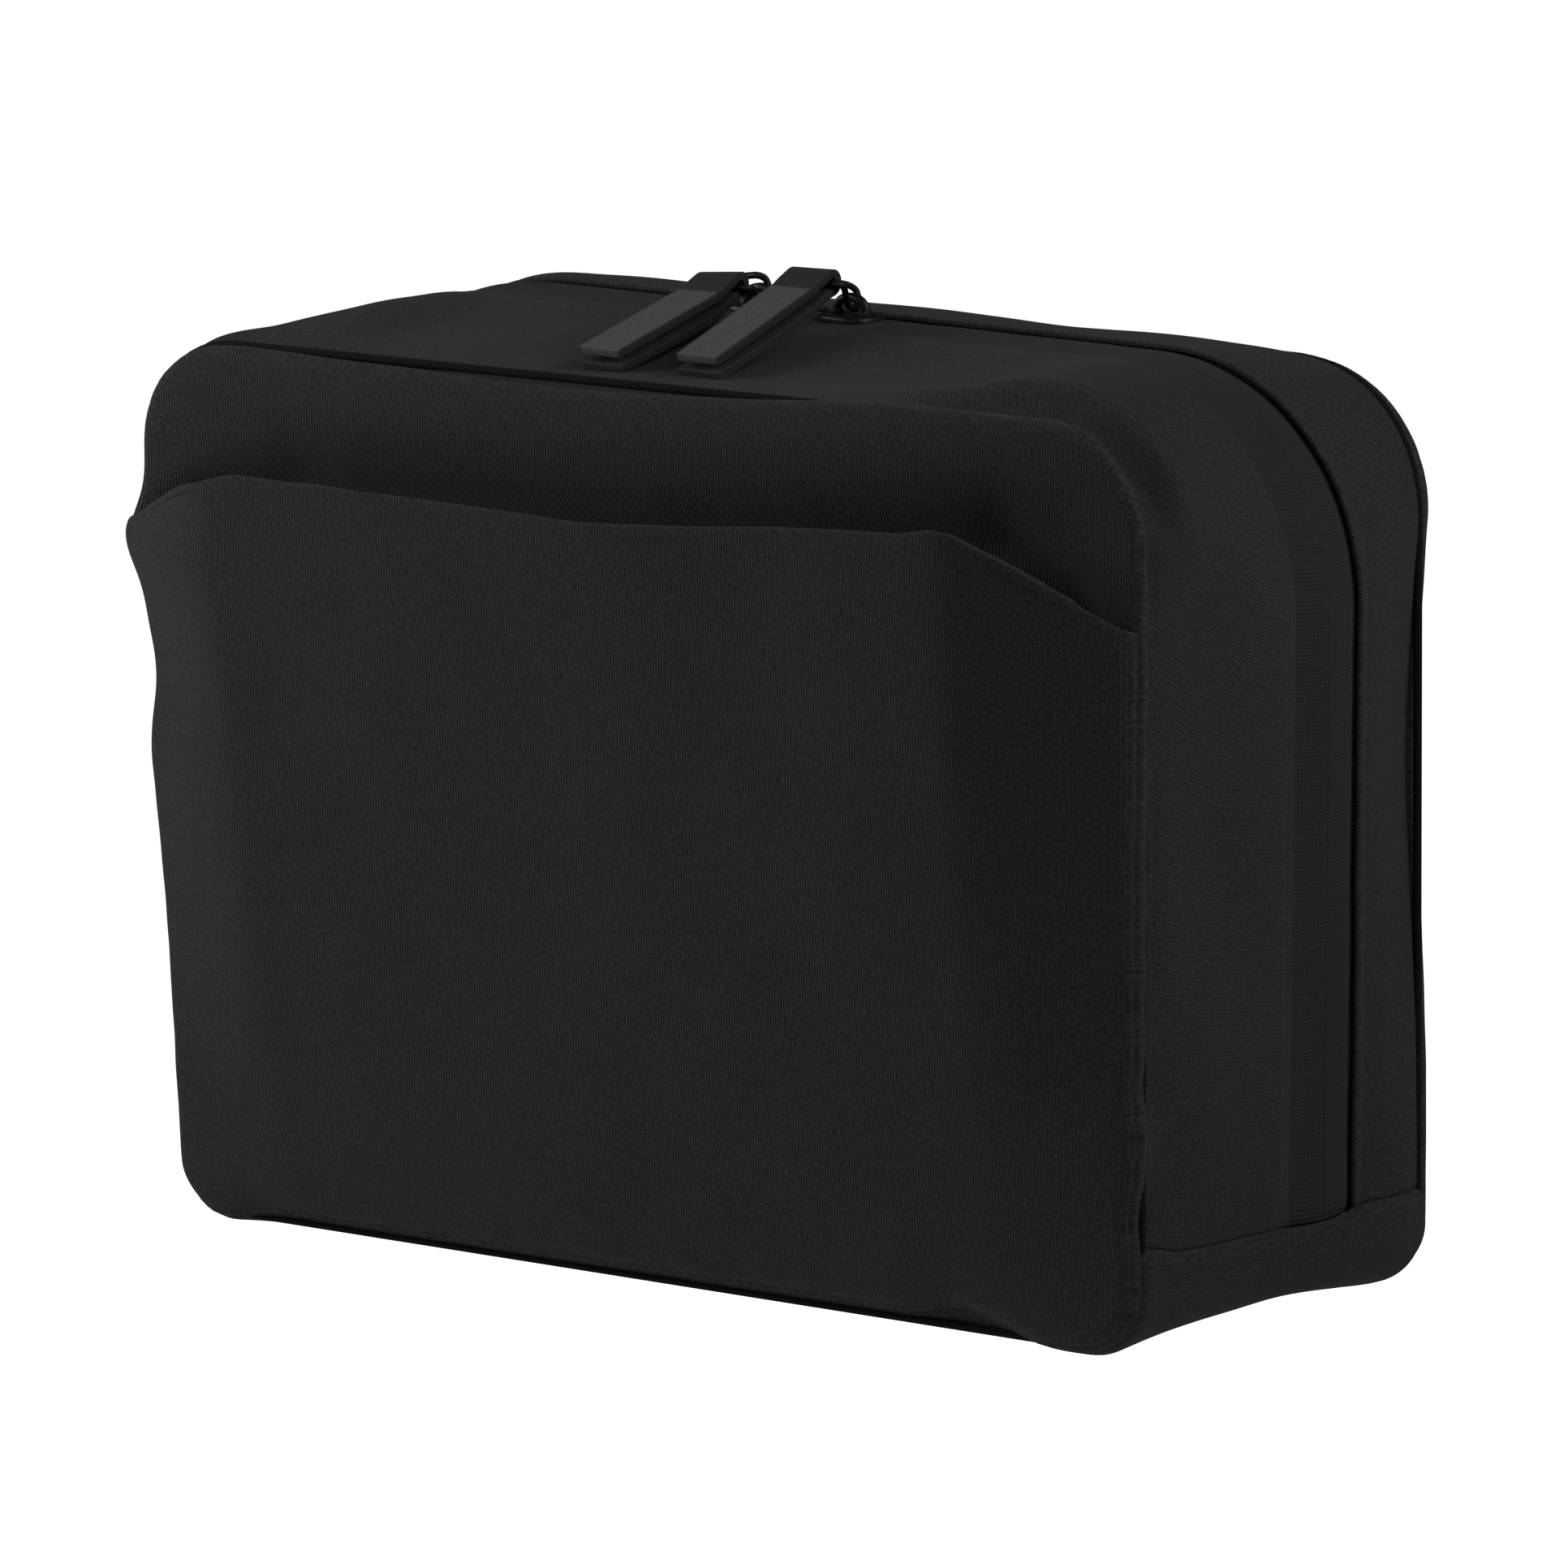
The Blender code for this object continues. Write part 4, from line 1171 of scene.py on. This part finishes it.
def bottom_shape(station, row):
    """row is millimetres along the cloth, from its hidden front border to its hidden rear border."""
    if row < BOTTOM_RUN / 2:
        depth, deep = folded(row)
    else:
        behind, deep = folded(BOTTOM_RUN - row)
        depth = DEPTH - behind
    x, z = on_bottom(station, depth, bottom_inset(station, depth) + deep)
    return place(x, depth, max(z, 0.0)), (station[3], row)


def crosses_hinge(piece, material, slot, *solids):
    """Finish a piece that lies between the two halves and is attached to neither."""
    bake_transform(piece)
    return finish(piece, material, solids)


bottom_rows = FOLD_STEPS + [7.0 + (BOTTOM_RUN - 14.0) * n / 32 for n in range(1, 32)]
bottom_rows += [BOTTOM_RUN - step for step in reversed(FOLD_STEPS)]
bottom_gusset = wall(sheet_of("bottom_gusset_cloth", bottom, bottom_rows, bottom_shape, DOWN))
crosses_hinge(bottom_gusset, shell_cloth, "shell", "bottom_gusset")

# %% Topstitch the bottom strip at both ends of the zip
BAND_STITCH, BAND_PITCH = 2.9, 4.1


def band_frame(side, depth):
    """The frame of a stitch on the strip's side."""

    def at(d, inset):
        station = ("side", BAND_STITCH, side, BAND_STITCH)
        x, z = on_bottom(station, d, bottom_inset(station, d) + inset)
        return place(x, d, z)

    forward = at(depth + 1, 0) - at(depth - 1, 0)
    return frame_at(at(depth, -0.02), forward, at(depth, -1) - at(depth, 0))


frames = [band_frame(side, depth) for side in (-1, 1) for depth in steps(2.5, DEPTH - 2.5, BAND_PITCH)]
crosses_hinge(stitch_row("bottom_gusset_topstitch", frames, 2.9, 0.42), thread_black, "binding")

# %% [markdown]
# ## Inside: linings and bound seams
#
# Open, the pouch shows a smooth grey lining, and its raw seams are covered by a folded tape. The
# strips of the side are lined too, so their inner face is a thin sheet of its own. Outside, a
# near-black cord fills the groove of each seam as painted shade.

# %% Line the side and bottom strips
LINING_INSET = 1.5


def lined(name, depths, body):
    """A thin lining under one of the side strips."""

    def shape(station, depth):
        x, z = on_arch(station, depth, LINING_INSET + 0.2 + 0.12 * ripple(station[3], depth, 16.0, 81.0))
        return place(x, depth, z), (station[3], depth)

    piece = wall(sheet_of(name, arch, depths, shape, UP), 0.25)
    belongs(piece, body, lining_cloth, "lining")


lined("front_gusset_lining", [2.5 + 39 * n / 12 for n in range(13)], "front_half")
lined("rear_gusset_lining", [LIP_START + 3 + 16.5 * n / 6 for n in range(7)], "rear_half")


def bottom_lining_shape(station, depth):
    """The lining lies just inside the bottom strip."""
    x, z = on_bottom(station, depth, LINING_INSET + 0.3)
    return place(x, depth, z), (station[3], depth)


lining_depths = spaced(2.5, DEPTH - 2.5, 26)
bottom_lining = sheet_of("bottom_gusset_lining", bottom, lining_depths, bottom_lining_shape, DOWN)
crosses_hinge(wall(bottom_lining, 0.25), lining_cloth, "lining")


# %% Bind the seams
def seam_loop(depth, inset, foot, count):
    """Evenly spaced points round the outline at this depth, this far inside it."""
    half, top, corner = section(depth, inset)
    corners = ((1, top, corner, -1), (1, inset, foot, 1), (-1, inset, foot, 1), (-1, top, corner, -1))
    points = []
    for number, (side, edge, radius, up) in enumerate(corners):
        for n in range(10):
            share = n / 9 if number in (0, 2) else 1 - n / 9
            angle = share * math.pi / 2
            x = side * (half - radius * (1 - math.sin(angle)))
            points.append(place(x, depth, edge + up * radius * (1 - math.cos(angle))))
    return resampled(points, count)


def bound_seam(name, depth, body, solid):
    """A folded tape round the inner corner of a seam."""
    piece = wire(name, seam_loop(depth, 3.2, FOOT_CORNER - 2.0, 150), 1.0, cyclic=True, resolution=2)
    return belongs(piece, body, binding_tape, "binding", solid)


def seam_shade_cord(name, depth, body):
    """A near-black cord in the groove of an outer seam: painted shade for the groove."""
    points = seam_loop(depth, CORD_INSET, FOOT_CORNER - CORD_INSET, 260)
    return belongs(wire(name, points, CORD_RADIUS, cyclic=True, resolution=2), body, seam_groove_shade, "shell")


def resampled(points, count):
    """The same closed path with evenly spaced points."""
    closed = points + points[:1]
    lengths = [0.0]
    for a, b in zip(closed, closed[1:]):
        lengths.append(lengths[-1] + (b - a).length)
    result, at = [], 0
    for n in range(count):
        wanted = lengths[-1] * n / count
        while lengths[at + 1] < wanted:
            at += 1
        share = (wanted - lengths[at]) / max(1e-9, lengths[at + 1] - lengths[at])
        result.append(closed[at].lerp(closed[at + 1], share))
    return result


def band_shade_cord(name, side, first, last, body):
    """A near-black cord along the bottom strip's upper seam, between two depths: painted shade for its
    groove.
    """
    path = []
    for depth in spaced(first, last, 14):
        half, _, _ = section(depth, 0.5)
        path.append(place(side * half, depth, BAND_TOP))
    belongs(wire(name, path, 0.5, resolution=2), body, seam_groove_shade, "shell")


CORD_INSET, CORD_RADIUS, CORD_BACK = 0.45, 0.75, 0.7
BAND_CORDS = (("front_half", 1.5, ZIP_DEPTH - 3.0), ("rear_half", ZIP_DEPTH + 3.0, DEPTH - 1.5))
# Near-black cords in the outer seams and along the band seams: painted shade for their grooves.
seam_shade_cord("front_seam_shade_cord", CORD_BACK, "front_half")
seam_shade_cord("rear_seam_shade_cord", DEPTH - CORD_BACK, "rear_half")
for side, hand in ((1, "right"), (-1, "left")):
    for body, first, last in BAND_CORDS:
        band_shade_cord(f"{hand}_{body}_band_shade_cord", side, first, last, body)
bound_seam("front_seam_tape", 1.5, "front_half", "front_seam_binding")
bound_seam("rear_seam_tape", DEPTH - 1.5, "rear_half", "rear_seam_binding")

# %% [markdown]
# ## Inside: pockets and loops
#
# A mesh pocket on the front lining, a slip pocket and a row of elastic loops on the back lining
# hold the cables. They are sheets too. Each stands off its lining where the plain solid does, so
# that the room inside stays the same.

# %% The mesh pocket and the slip pocket
POCKET_FOOT = 16.0
FRONT_LINING_FACE, BACK_LINING_FACE = 5.3, -5.3


# Each pocket: its wall's seam, lining face, way to the zip and crown, then its half width, mouth
# height and how far the mouth stands off.
LID = (0.0, FRONT_LINING_FACE, 1, -FRONT_CROWN, 90.0, 92.0, 10.0)
ORGANIZER = (DEPTH, BACK_LINING_FACE, -1, BACK_CROWN, 88.0, 74.0, 9.0)
SLIP_CLOTH = 0.8


def slip_pocket(name, where):
    """A pocket on a lining, open at the top."""
    depth, face, toward, crown_amount, half, mouth, stand_off = where
    thickness = SLIP_CLOTH

    def shape(across, share):
        x, z = half * across, POCKET_FOOT + (mouth - POCKET_FOOT) * share
        stand = stand_off * smooth((1 - abs(across)) / 0.3) * min(1.0, share / 0.85) ** 0.7
        stand += 0.5 * smooth((1 - abs(across)) / 0.2) * smooth(share * 4) * ripple(x, z, 24.0, 91.0)
        stand = max(0.0, stand) + thickness
        return place(x, depth + face + crown(crown_amount, x, z) + toward * stand, z), (x, z)

    edge = [-1, -0.985, -0.965, -0.94]
    across = edge + [-0.91 + 1.82 * n / 44 for n in range(45)] + [-share for share in reversed(edge)]
    rows = [0, 0.02, 0.05] + [0.09 + 0.84 * n / 16 for n in range(17)] + [0.96, 0.98, 1.0]
    return wall(sheet_of(name, across, rows, shape, (0, toward, 0)), thickness)


lid_pocket = slip_pocket("lid_mesh_pocket", LID)
belongs(lid_pocket, "front_half", mesh_cloth, "mesh", "lid_pocket")
organizer = slip_pocket("organizer_slip_pocket", ORGANIZER)
belongs(organizer, "rear_half", lining_cloth, "lining", "organizer_pocket")


# %% Bound mouths of the inner pockets
def mouth_binding(name, where, tall):
    """A folded tape over a pocket's mouth."""
    depth, face, toward, crown_amount, half, mouth, stand_off = where

    def shape(across, around):
        x = half * across
        z = mouth + 1.0 - tall * max(0.0, abs(around) - 0.3)
        stand = stand_off * smooth((1 - abs(across)) / 0.3)
        stand += 0.5 * smooth((1 - abs(across)) / 0.2) * ripple(x, z, 24.0, 91.0)
        side = 1.15 if around > 0 else -0.25
        out = 0.45 + (side - 0.45) * min(1.0, abs(around) / 0.25)
        stand = max(0.0, stand) + out
        return place(x, depth + face + crown(crown_amount, x, z) + toward * stand, z), (x, around * tall)

    across = [-1 + n / 24 for n in range(49)]
    around = [-1.3, -1.1, -0.7, -0.4, -0.25, -0.1, 0.1, 0.25, 0.4, 0.7, 1.1, 1.3]
    return wall(sheet_of(name, across, around, shape, UP), 0.3)


lid_edge = mouth_binding("lid_pocket_edge", LID, 5.0)
belongs(lid_edge, "front_half", binding_tape, "binding", "lid_pocket_binding")
slip_edge = mouth_binding("organizer_pocket_edge", ORGANIZER, 4.0)
belongs(slip_edge, "rear_half", binding_tape, "binding")

# %% Elastic loops
LOOP_PITCH, LOOP_FOOT, LOOP_TALL, LOOP_HEIGHT, ELASTIC = 34.0, 86.0, 22.0, 10.0, 1.2


def loop_profile():
    """The loop's middle line seen from above: flat foot, arch, flat foot, as (x, out)."""
    foot = [(13.0, 0.0), (11.2, 0.0), (9.9, 0.15), (9.3, 1.4)]
    right = foot + [(9.0, 3.6), (8.5, 6.2), (7.4, 8.4), (5.4, 9.7), (2.6, LOOP_HEIGHT)]
    return [(-x, out) for x, out in right] + [(0.0, LOOP_HEIGHT)] + right[::-1]


def cable_loop(number):
    """One elastic band that stands off the lining between its two sewn feet."""
    centre = LOOP_PITCH * (number - 3)
    profile = loop_profile()

    def shape(step, share):
        x, out = profile[step]
        z = LOOP_FOOT + LOOP_TALL * share
        squeeze = 1 - 0.05 * math.sin(math.pi * share) * (out / LOOP_HEIGHT)
        face = BACK_LINING_FACE - 0.3 - ELASTIC + crown(BACK_CROWN, centre + x, z)
        return place(centre + x * squeeze, DEPTH + face - out, z), (LOOP_TALL * share, step * 2.5)

    rows = [0, 0.02, 0.06, 0.12] + [0.2 + 0.6 * n / 7 for n in range(8)] + [0.88, 0.94, 0.98, 1.0]
    flat = sheet_of(f"elastic_loop_{number}", range(len(profile)), rows, shape, TOWARD_FRONT)
    piece = wall(flat, ELASTIC)
    belongs(piece, "rear_half", elastic_band, "elastic", f"cable_loop_{number}")


for number in range(1, 6):
    cable_loop(number)


# %% Bar tacks that hold the loops
def tack_frames():
    """Short upright stitches in a dense row between one loop and the next, at each foot."""
    frames = []
    for number in range(1, 6):
        for side in (-1, 1):
            x = LOOP_PITCH * (number - 3) + side * 11.6
            for step in range(22):
                z = LOOP_FOOT + 1.5 + step * 0.9
                face = BACK_LINING_FACE - 0.3 - ELASTIC - 0.05 + crown(BACK_CROWN, x, z)
                frames.append(Matrix.Translation(place(x, DEPTH + face, z)))
    return frames


tacks = stitch_row("loop_bar_tacks", tack_frames(), 1.9, 0.45)
belongs(tacks, "rear_half", thread_black, "elastic")
print("pieces inside:", sum(1 for name in made if "pocket" in name or "loop" in name))

# %% [markdown]
# ## Sliders
#
# A slider is a zinc casting: a boat-shaped top plate with rounded rims, a bottom plate under the
# coils, and a wedge between them. On top stands a bridge, a bent strip that the pull's ring hangs
# on. Each plate starts as a block, gets its round ends from a wide bevel of the upright edges, and
# its soft rims from a narrow one.

# %% Plates
BRIDGE_Z, BRIDGE_SPAN, BRIDGE_WIRE = 160.9, 6.4, 0.8
PULLS = {"left": -16.0, "right": 3.5}
ZIP_Y = FRONT_Y + ZIP_DEPTH


def block(name, low, high, upright=0.0, rim=0.0):
    """A block between two corners in millimetres, with rounded upright edges and soft rims."""
    size, middle = Vector(high) - Vector(low), (Vector(low) + Vector(high)) / 2
    bpy.ops.object.select_all(action="DESELECT")
    bpy.ops.mesh.primitive_cube_add(size=1, location=middle * MM)
    piece = bpy.context.object
    piece.name = name
    piece.scale = size * MM
    bpy.ops.object.transform_apply(location=True, rotation=False, scale=True)
    for width, wanted in ((upright, True), (rim, False)):
        if width:
            bevel_edges(piece, width, wanted)
    return piece


def bevel_edges(piece, width, wanted_upright):
    """Bevel the upright edges, or the rims of the flat top and bottom."""
    bpy.ops.object.mode_set(mode="EDIT")
    bpy.ops.mesh.select_mode(type="EDGE")
    bpy.ops.mesh.select_all(action="DESELECT")
    bpy.ops.object.mode_set(mode="OBJECT")
    heights = [vertex.co.z for vertex in piece.data.vertices]
    low, high = min(heights), max(heights)
    for edge in piece.data.edges:
        a, b = (piece.data.vertices[index].co.z for index in edge.vertices)
        is_upright = abs(a - b) > 0.5 * (high - low)
        on_rim = abs(a - b) < 1e-6 and (high - a < 1e-6 or a - low < 1e-6)
        edge.select = is_upright if wanted_upright else on_rim
    bpy.ops.object.mode_set(mode="EDIT")
    bpy.ops.mesh.bevel(offset=width * MM, segments=5 if wanted_upright else 3, affect="EDGES")
    bpy.ops.object.mode_set(mode="OBJECT")


def joined(pieces, name):
    """Join pieces into the first one."""
    bpy.ops.object.select_all(action="DESELECT")
    for piece in pieces:
        piece.select_set(True)
    bpy.context.view_layer.objects.active = pieces[0]
    bpy.ops.object.join()
    pieces[0].name = pieces[0].data.name = name
    return pieces[0]


# %% Bridge and slider
def bridge_line(centre):
    """The bridge's bent strip: up, over and down, along the zip."""
    points = []
    half, foot = BRIDGE_SPAN / 2, RIDGE_TOP - 0.6
    for n in range(17):
        angle = math.pi * n / 16
        x = -half * math.cos(angle)
        rise = abs(math.sin(angle)) ** 0.55
        height = foot + (BRIDGE_Z - foot) * rise
        points.append(Vector((centre + x, ZIP_Y, height)) * MM)
    return points


def make_slider(side, centre):
    """Two plates, a wedge, two lugs and a bridge, joined into one piece."""
    tape_top = RIDGE_TOP - TAPE_INSET
    plates = (
        ("top", (-5.5, -4.5, tape_top + 0.35), (5.5, 4.5, RIDGE_TOP + 0.05), 3.4, 0.5),
        ("wedge", (-1.4, -0.35, tape_top - 3.4), (3.0, 0.35, tape_top + 0.8), 0.0, 0.0),
        ("bottom", (-5.3, -4.3, tape_top - 4.9), (5.3, 4.3, tape_top - 3.9), 3.2, 0.4),
        ("left_lug", (-3.9, -1.3, RIDGE_TOP - 0.3), (-2.5, 1.3, RIDGE_TOP + 0.9), 0.4, 0.3),
        ("right_lug", (2.5, -1.3, RIDGE_TOP - 0.3), (3.9, 1.3, RIDGE_TOP + 0.9), 0.4, 0.3),
    )
    pieces = []
    for label, low, high, upright, rim in plates:
        move = Vector((centre, ZIP_Y, 0))
        pieces.append(block(label, Vector(low) + move, Vector(high) + move, upright, rim))
    pieces.append(wire("bridge", bridge_line(centre), BRIDGE_WIRE, resolution=3))
    slider = joined(pieces, f"{side}_slider_body")
    only(slider)
    bpy.ops.object.shade_smooth_by_angle(angle=math.radians(40))
    belongs(slider, f"{side}_slider", slider_metal, "metal", f"{side}_slider")
    print(slider.name, len(slider.data.polygons), "faces")


for side, centre in PULLS.items():
    make_slider(side, centre)

# %% [markdown]
# ## Rings and straps
#
# Each pull is a wire ring through the bridge and a strap folded over the ring's bar. The strap is
# pressed flat with a crease a little way out from the fold, so it leaves the ring steeply and then
# runs on at a gentler slope, its lower layer a little shorter than the upper one.

# %% Rings
RING_WIRE, RING_REACH, RING_HALF = 0.6, 11.2, 5.4
RING_LIFTS = {"left": math.radians(8), "right": math.radians(20)}


def ring_point(side, x, out, up):
    """A place on a ring: x across, out from the bridge and up from the ring's plane, in millimetres."""
    lift = RING_LIFTS[side]
    outward = Vector((0, -math.cos(lift), math.sin(lift)))
    upward = Vector((0, math.sin(lift), math.cos(lift)))
    return (Vector((PULLS[side] + x, ZIP_Y, BRIDGE_Z)) + outward * out + upward * up) * MM


def smooth_loop(points, rounds=3):
    """Cut a closed path's corners until it is smooth."""
    for _ in range(rounds):
        cut = []
        for a, b in zip(points, points[1:] + points[:1]):
            cut += [a.lerp(b, 0.25), a.lerp(b, 0.75)]
        points = cut
    return points


def make_ring(side):
    """A wire loop: a straight bar for the strap, narrowing to an eye round the bridge."""
    wrap = BRIDGE_WIRE + RING_WIRE + 0.45
    bar, neck = RING_HALF + 0.35, RING_REACH - 2.0
    half = [(bar * 0.5, RING_REACH, 0), (bar, RING_REACH, 0), (bar - 0.2, neck, 0), (1.3, 2.6, -wrap * 0.95)]
    back = [(-x, out, -up) for x, out, up in reversed(half)]
    eye = [(0.9, -0.2, -wrap * 1.1), (0.3, -wrap, -wrap * 0.7)]
    eye += [(-x, out, -up) for x, out, up in reversed(eye)]
    points = smooth_loop([ring_point(side, *spot) for spot in half + eye + back])
    ring = wire(f"{side}_wire_ring", points, RING_WIRE, cyclic=True, resolution=2)
    belongs(ring, f"{side}_ring", slider_metal, "metal", f"{side}_pull_ring")


for side in PULLS:
    make_ring(side)

# %% Straps
STRAP_WIDTH, STRAP_CLOTH = 9.0, 1.45
STRAP_FIRST, STRAP_REST = 6.0, 27.3
FIRST_SLOPE = math.radians(26)
REST_SLOPES = {"left": math.radians(14.5), "right": math.radians(18.5)}


def strap_profile(rest_slope):
    """The strap's outer face from the upper end, round the fold, to the lower end, as (forward, up)."""
    turn = RING_WIRE + 0.3 + STRAP_CLOTH
    knee = (STRAP_FIRST * math.cos(FIRST_SLOPE), -STRAP_FIRST * math.sin(FIRST_SLOPE))
    reach = (STRAP_REST * math.cos(rest_slope), -STRAP_REST * math.sin(rest_slope))
    upper = []
    for share in (1, 0.992, 0.978, 0.95, 0.9, 0.8, 0.65, 0.5, 0.35, 0.2, 0.1, 0.04):
        close = 0.15 * smooth(share)
        upper.append((knee[0] + reach[0] * share, knee[1] + reach[1] * share + turn - close))
    upper += [(knee[0] + 0.25, knee[1] + turn), (knee[0] - 0.35, knee[1] + turn + 0.05)]
    upper += [(knee[0] * share, knee[1] * share + turn + 0.12) for share in (0.75, 0.5, 0.25, 0.1)]
    fold = [(-turn * math.sin(a), turn * math.cos(a)) for a in (math.pi * n / 12 for n in range(1, 12))]
    lower = [(knee[0] * share, knee[1] * share - turn + 0.1) for share in (0.1, 0.4, 0.7)]
    lower += [(knee[0] - 0.3, knee[1] - turn + 0.15), (knee[0] + 0.5, knee[1] - turn + 0.1)]
    for share in (0.06, 0.15, 0.3, 0.5, 0.7, 0.85, 0.92, 0.945, 0.955):
        close = 0.2 * smooth(share) - 0.2 * hill(share, 0.45, 0.25)
        lower.append((knee[0] + reach[0] * share, knee[1] + reach[1] * share - turn + close))
    return upper + fold + lower


UPPER_STEPS = 18


def make_strap(side, twist, tilt):
    """A folded strap. twist turns its free end and tilt its fold, so that the two straps aren't twins."""
    profile = strap_profile(REST_SLOPES[side])
    bar = ring_point(side, 0, RING_REACH, 0)
    half = STRAP_WIDTH / 2
    left = [-half + step for step in (0.0, 0.12, 0.35, 0.8, 1.6)] + [-1.2]
    across = left + [-x for x in reversed(left)]

    def shape(step, x):
        forward, up = profile[step]
        swing = twist * smooth(forward / 32)
        lift = tilt * x * smooth((9 - forward) / 9)
        point = bar + Vector((x + swing, -forward, up + lift)) * MM
        return point, (x, forward if step < UPPER_STEPS else -forward)

    strap = sheet_of(f"{side}_strap_webbing", range(len(profile)), across, shape, UP)
    wall(strap, STRAP_CLOTH, levels=2)
    belongs(strap, f"{side}_strap", pull_webbing, "strap", f"{side}_pull_strap")


make_strap("left", -0.3, 0.09)
make_strap("right", 0.4, 0.03)

# %% [markdown]
# ## Camera, floor and light
#
# The pouch is seen from its front right corner, a little from above, through a long lens from 3 m
# away, so its sides stay nearly parallel. Two soft lights stand close on the left and the right, and
# a large weak one fills from the front. The room looks white but sheds almost no light.
# The open lid hangs below the feet, so the floor lies lower than that.

# %% Camera
AZIMUTH, ELEVATION, DISTANCE = math.radians(39), math.radians(9.5), 3.0
AIM = Vector((-0.0029, 0.0091, 0.0785))
back = Vector((
    math.sin(AZIMUTH) * math.cos(ELEVATION),
    -math.cos(AZIMUTH) * math.cos(ELEVATION),
    math.sin(ELEVATION),
))
bpy.ops.object.camera_add(location=AIM + back * DISTANCE)
camera = bpy.context.object
camera.rotation_mode = "QUATERNION"
camera.rotation_quaternion = (-back).to_track_quat("-Z", "Y")
camera.data.sensor_width = 36.0
camera.data.lens = 408.0
bpy.context.scene.camera = camera

# %% Floor
FLOOR_Z = -0.075
bpy.ops.object.select_all(action="DESELECT")
bpy.ops.mesh.primitive_plane_add(size=14, location=(0, 0, FLOOR_Z))
floor = bpy.context.object
floor.name = "floor"
floor_paint, floor_shader = shader_of("floor_paint", 0.9, 0.1)
floor_shader.inputs["Base Color"].default_value = (0.9, 0.9, 0.9, 1)
floor_shader.inputs["Emission Color"].default_value = (1, 1, 1, 1)
paint = floor_paint.node_tree
ray = paint.nodes.new("ShaderNodeLightPath")
paint.links.new(ray.outputs["Is Camera Ray"], floor_shader.inputs["Emission Strength"])
floor.data.materials.append(floor_paint)
floor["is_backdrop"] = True


# %% Lights and the room
def soft_light(name, azimuth, elevation, distance, size, power):
    """A square area light that faces the pouch. Azimuth turns as the camera's does."""
    a, e = math.radians(azimuth), math.radians(elevation)
    way = Vector((math.sin(a) * math.cos(e), -math.cos(a) * math.cos(e), math.sin(e)))
    bpy.ops.object.light_add(type="AREA", location=AIM + way * distance)
    light = bpy.context.object
    light.name = name
    light.data.size = size
    light.data.energy = power
    light.rotation_mode = "QUATERNION"
    light.rotation_quaternion = (-way).to_track_quat("-Z", "Y")


soft_light("key_light", -55, 27, 0.5, 0.32, 1.22)
soft_light("side_light", 98, 40, 0.5, 0.32, 1.0)
soft_light("front_fill", 5, 18, 2.0, 1.3, 4.3)

world = bpy.data.worlds.new("studio")
bpy.context.scene.world = world
world.use_nodes = True
sky = world.node_tree
ground = sky.nodes["Background"]
ground.inputs["Color"].default_value = (1, 1, 1, 1)
seen = sky.nodes.new("ShaderNodeLightPath")
strength = math_node(sky, "MULTIPLY_ADD", seen.outputs["Is Camera Ray"], 0.98, 0.02)
sky.links.new(strength, ground.inputs["Strength"])
bpy.context.scene.view_settings.view_transform = "Standard"

# %% [markdown]
# ## The two boxes
#
# Last, the two boxes are printed side by side: the plain solids' and the dressed pouch's.

# %% Print the boxes and finish
new_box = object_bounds()
for label, box_of in (("solids", cad_box), ("dressed", new_box)):
    print(label, [round(value / MM, 1) for corner in box_of for value in corner])
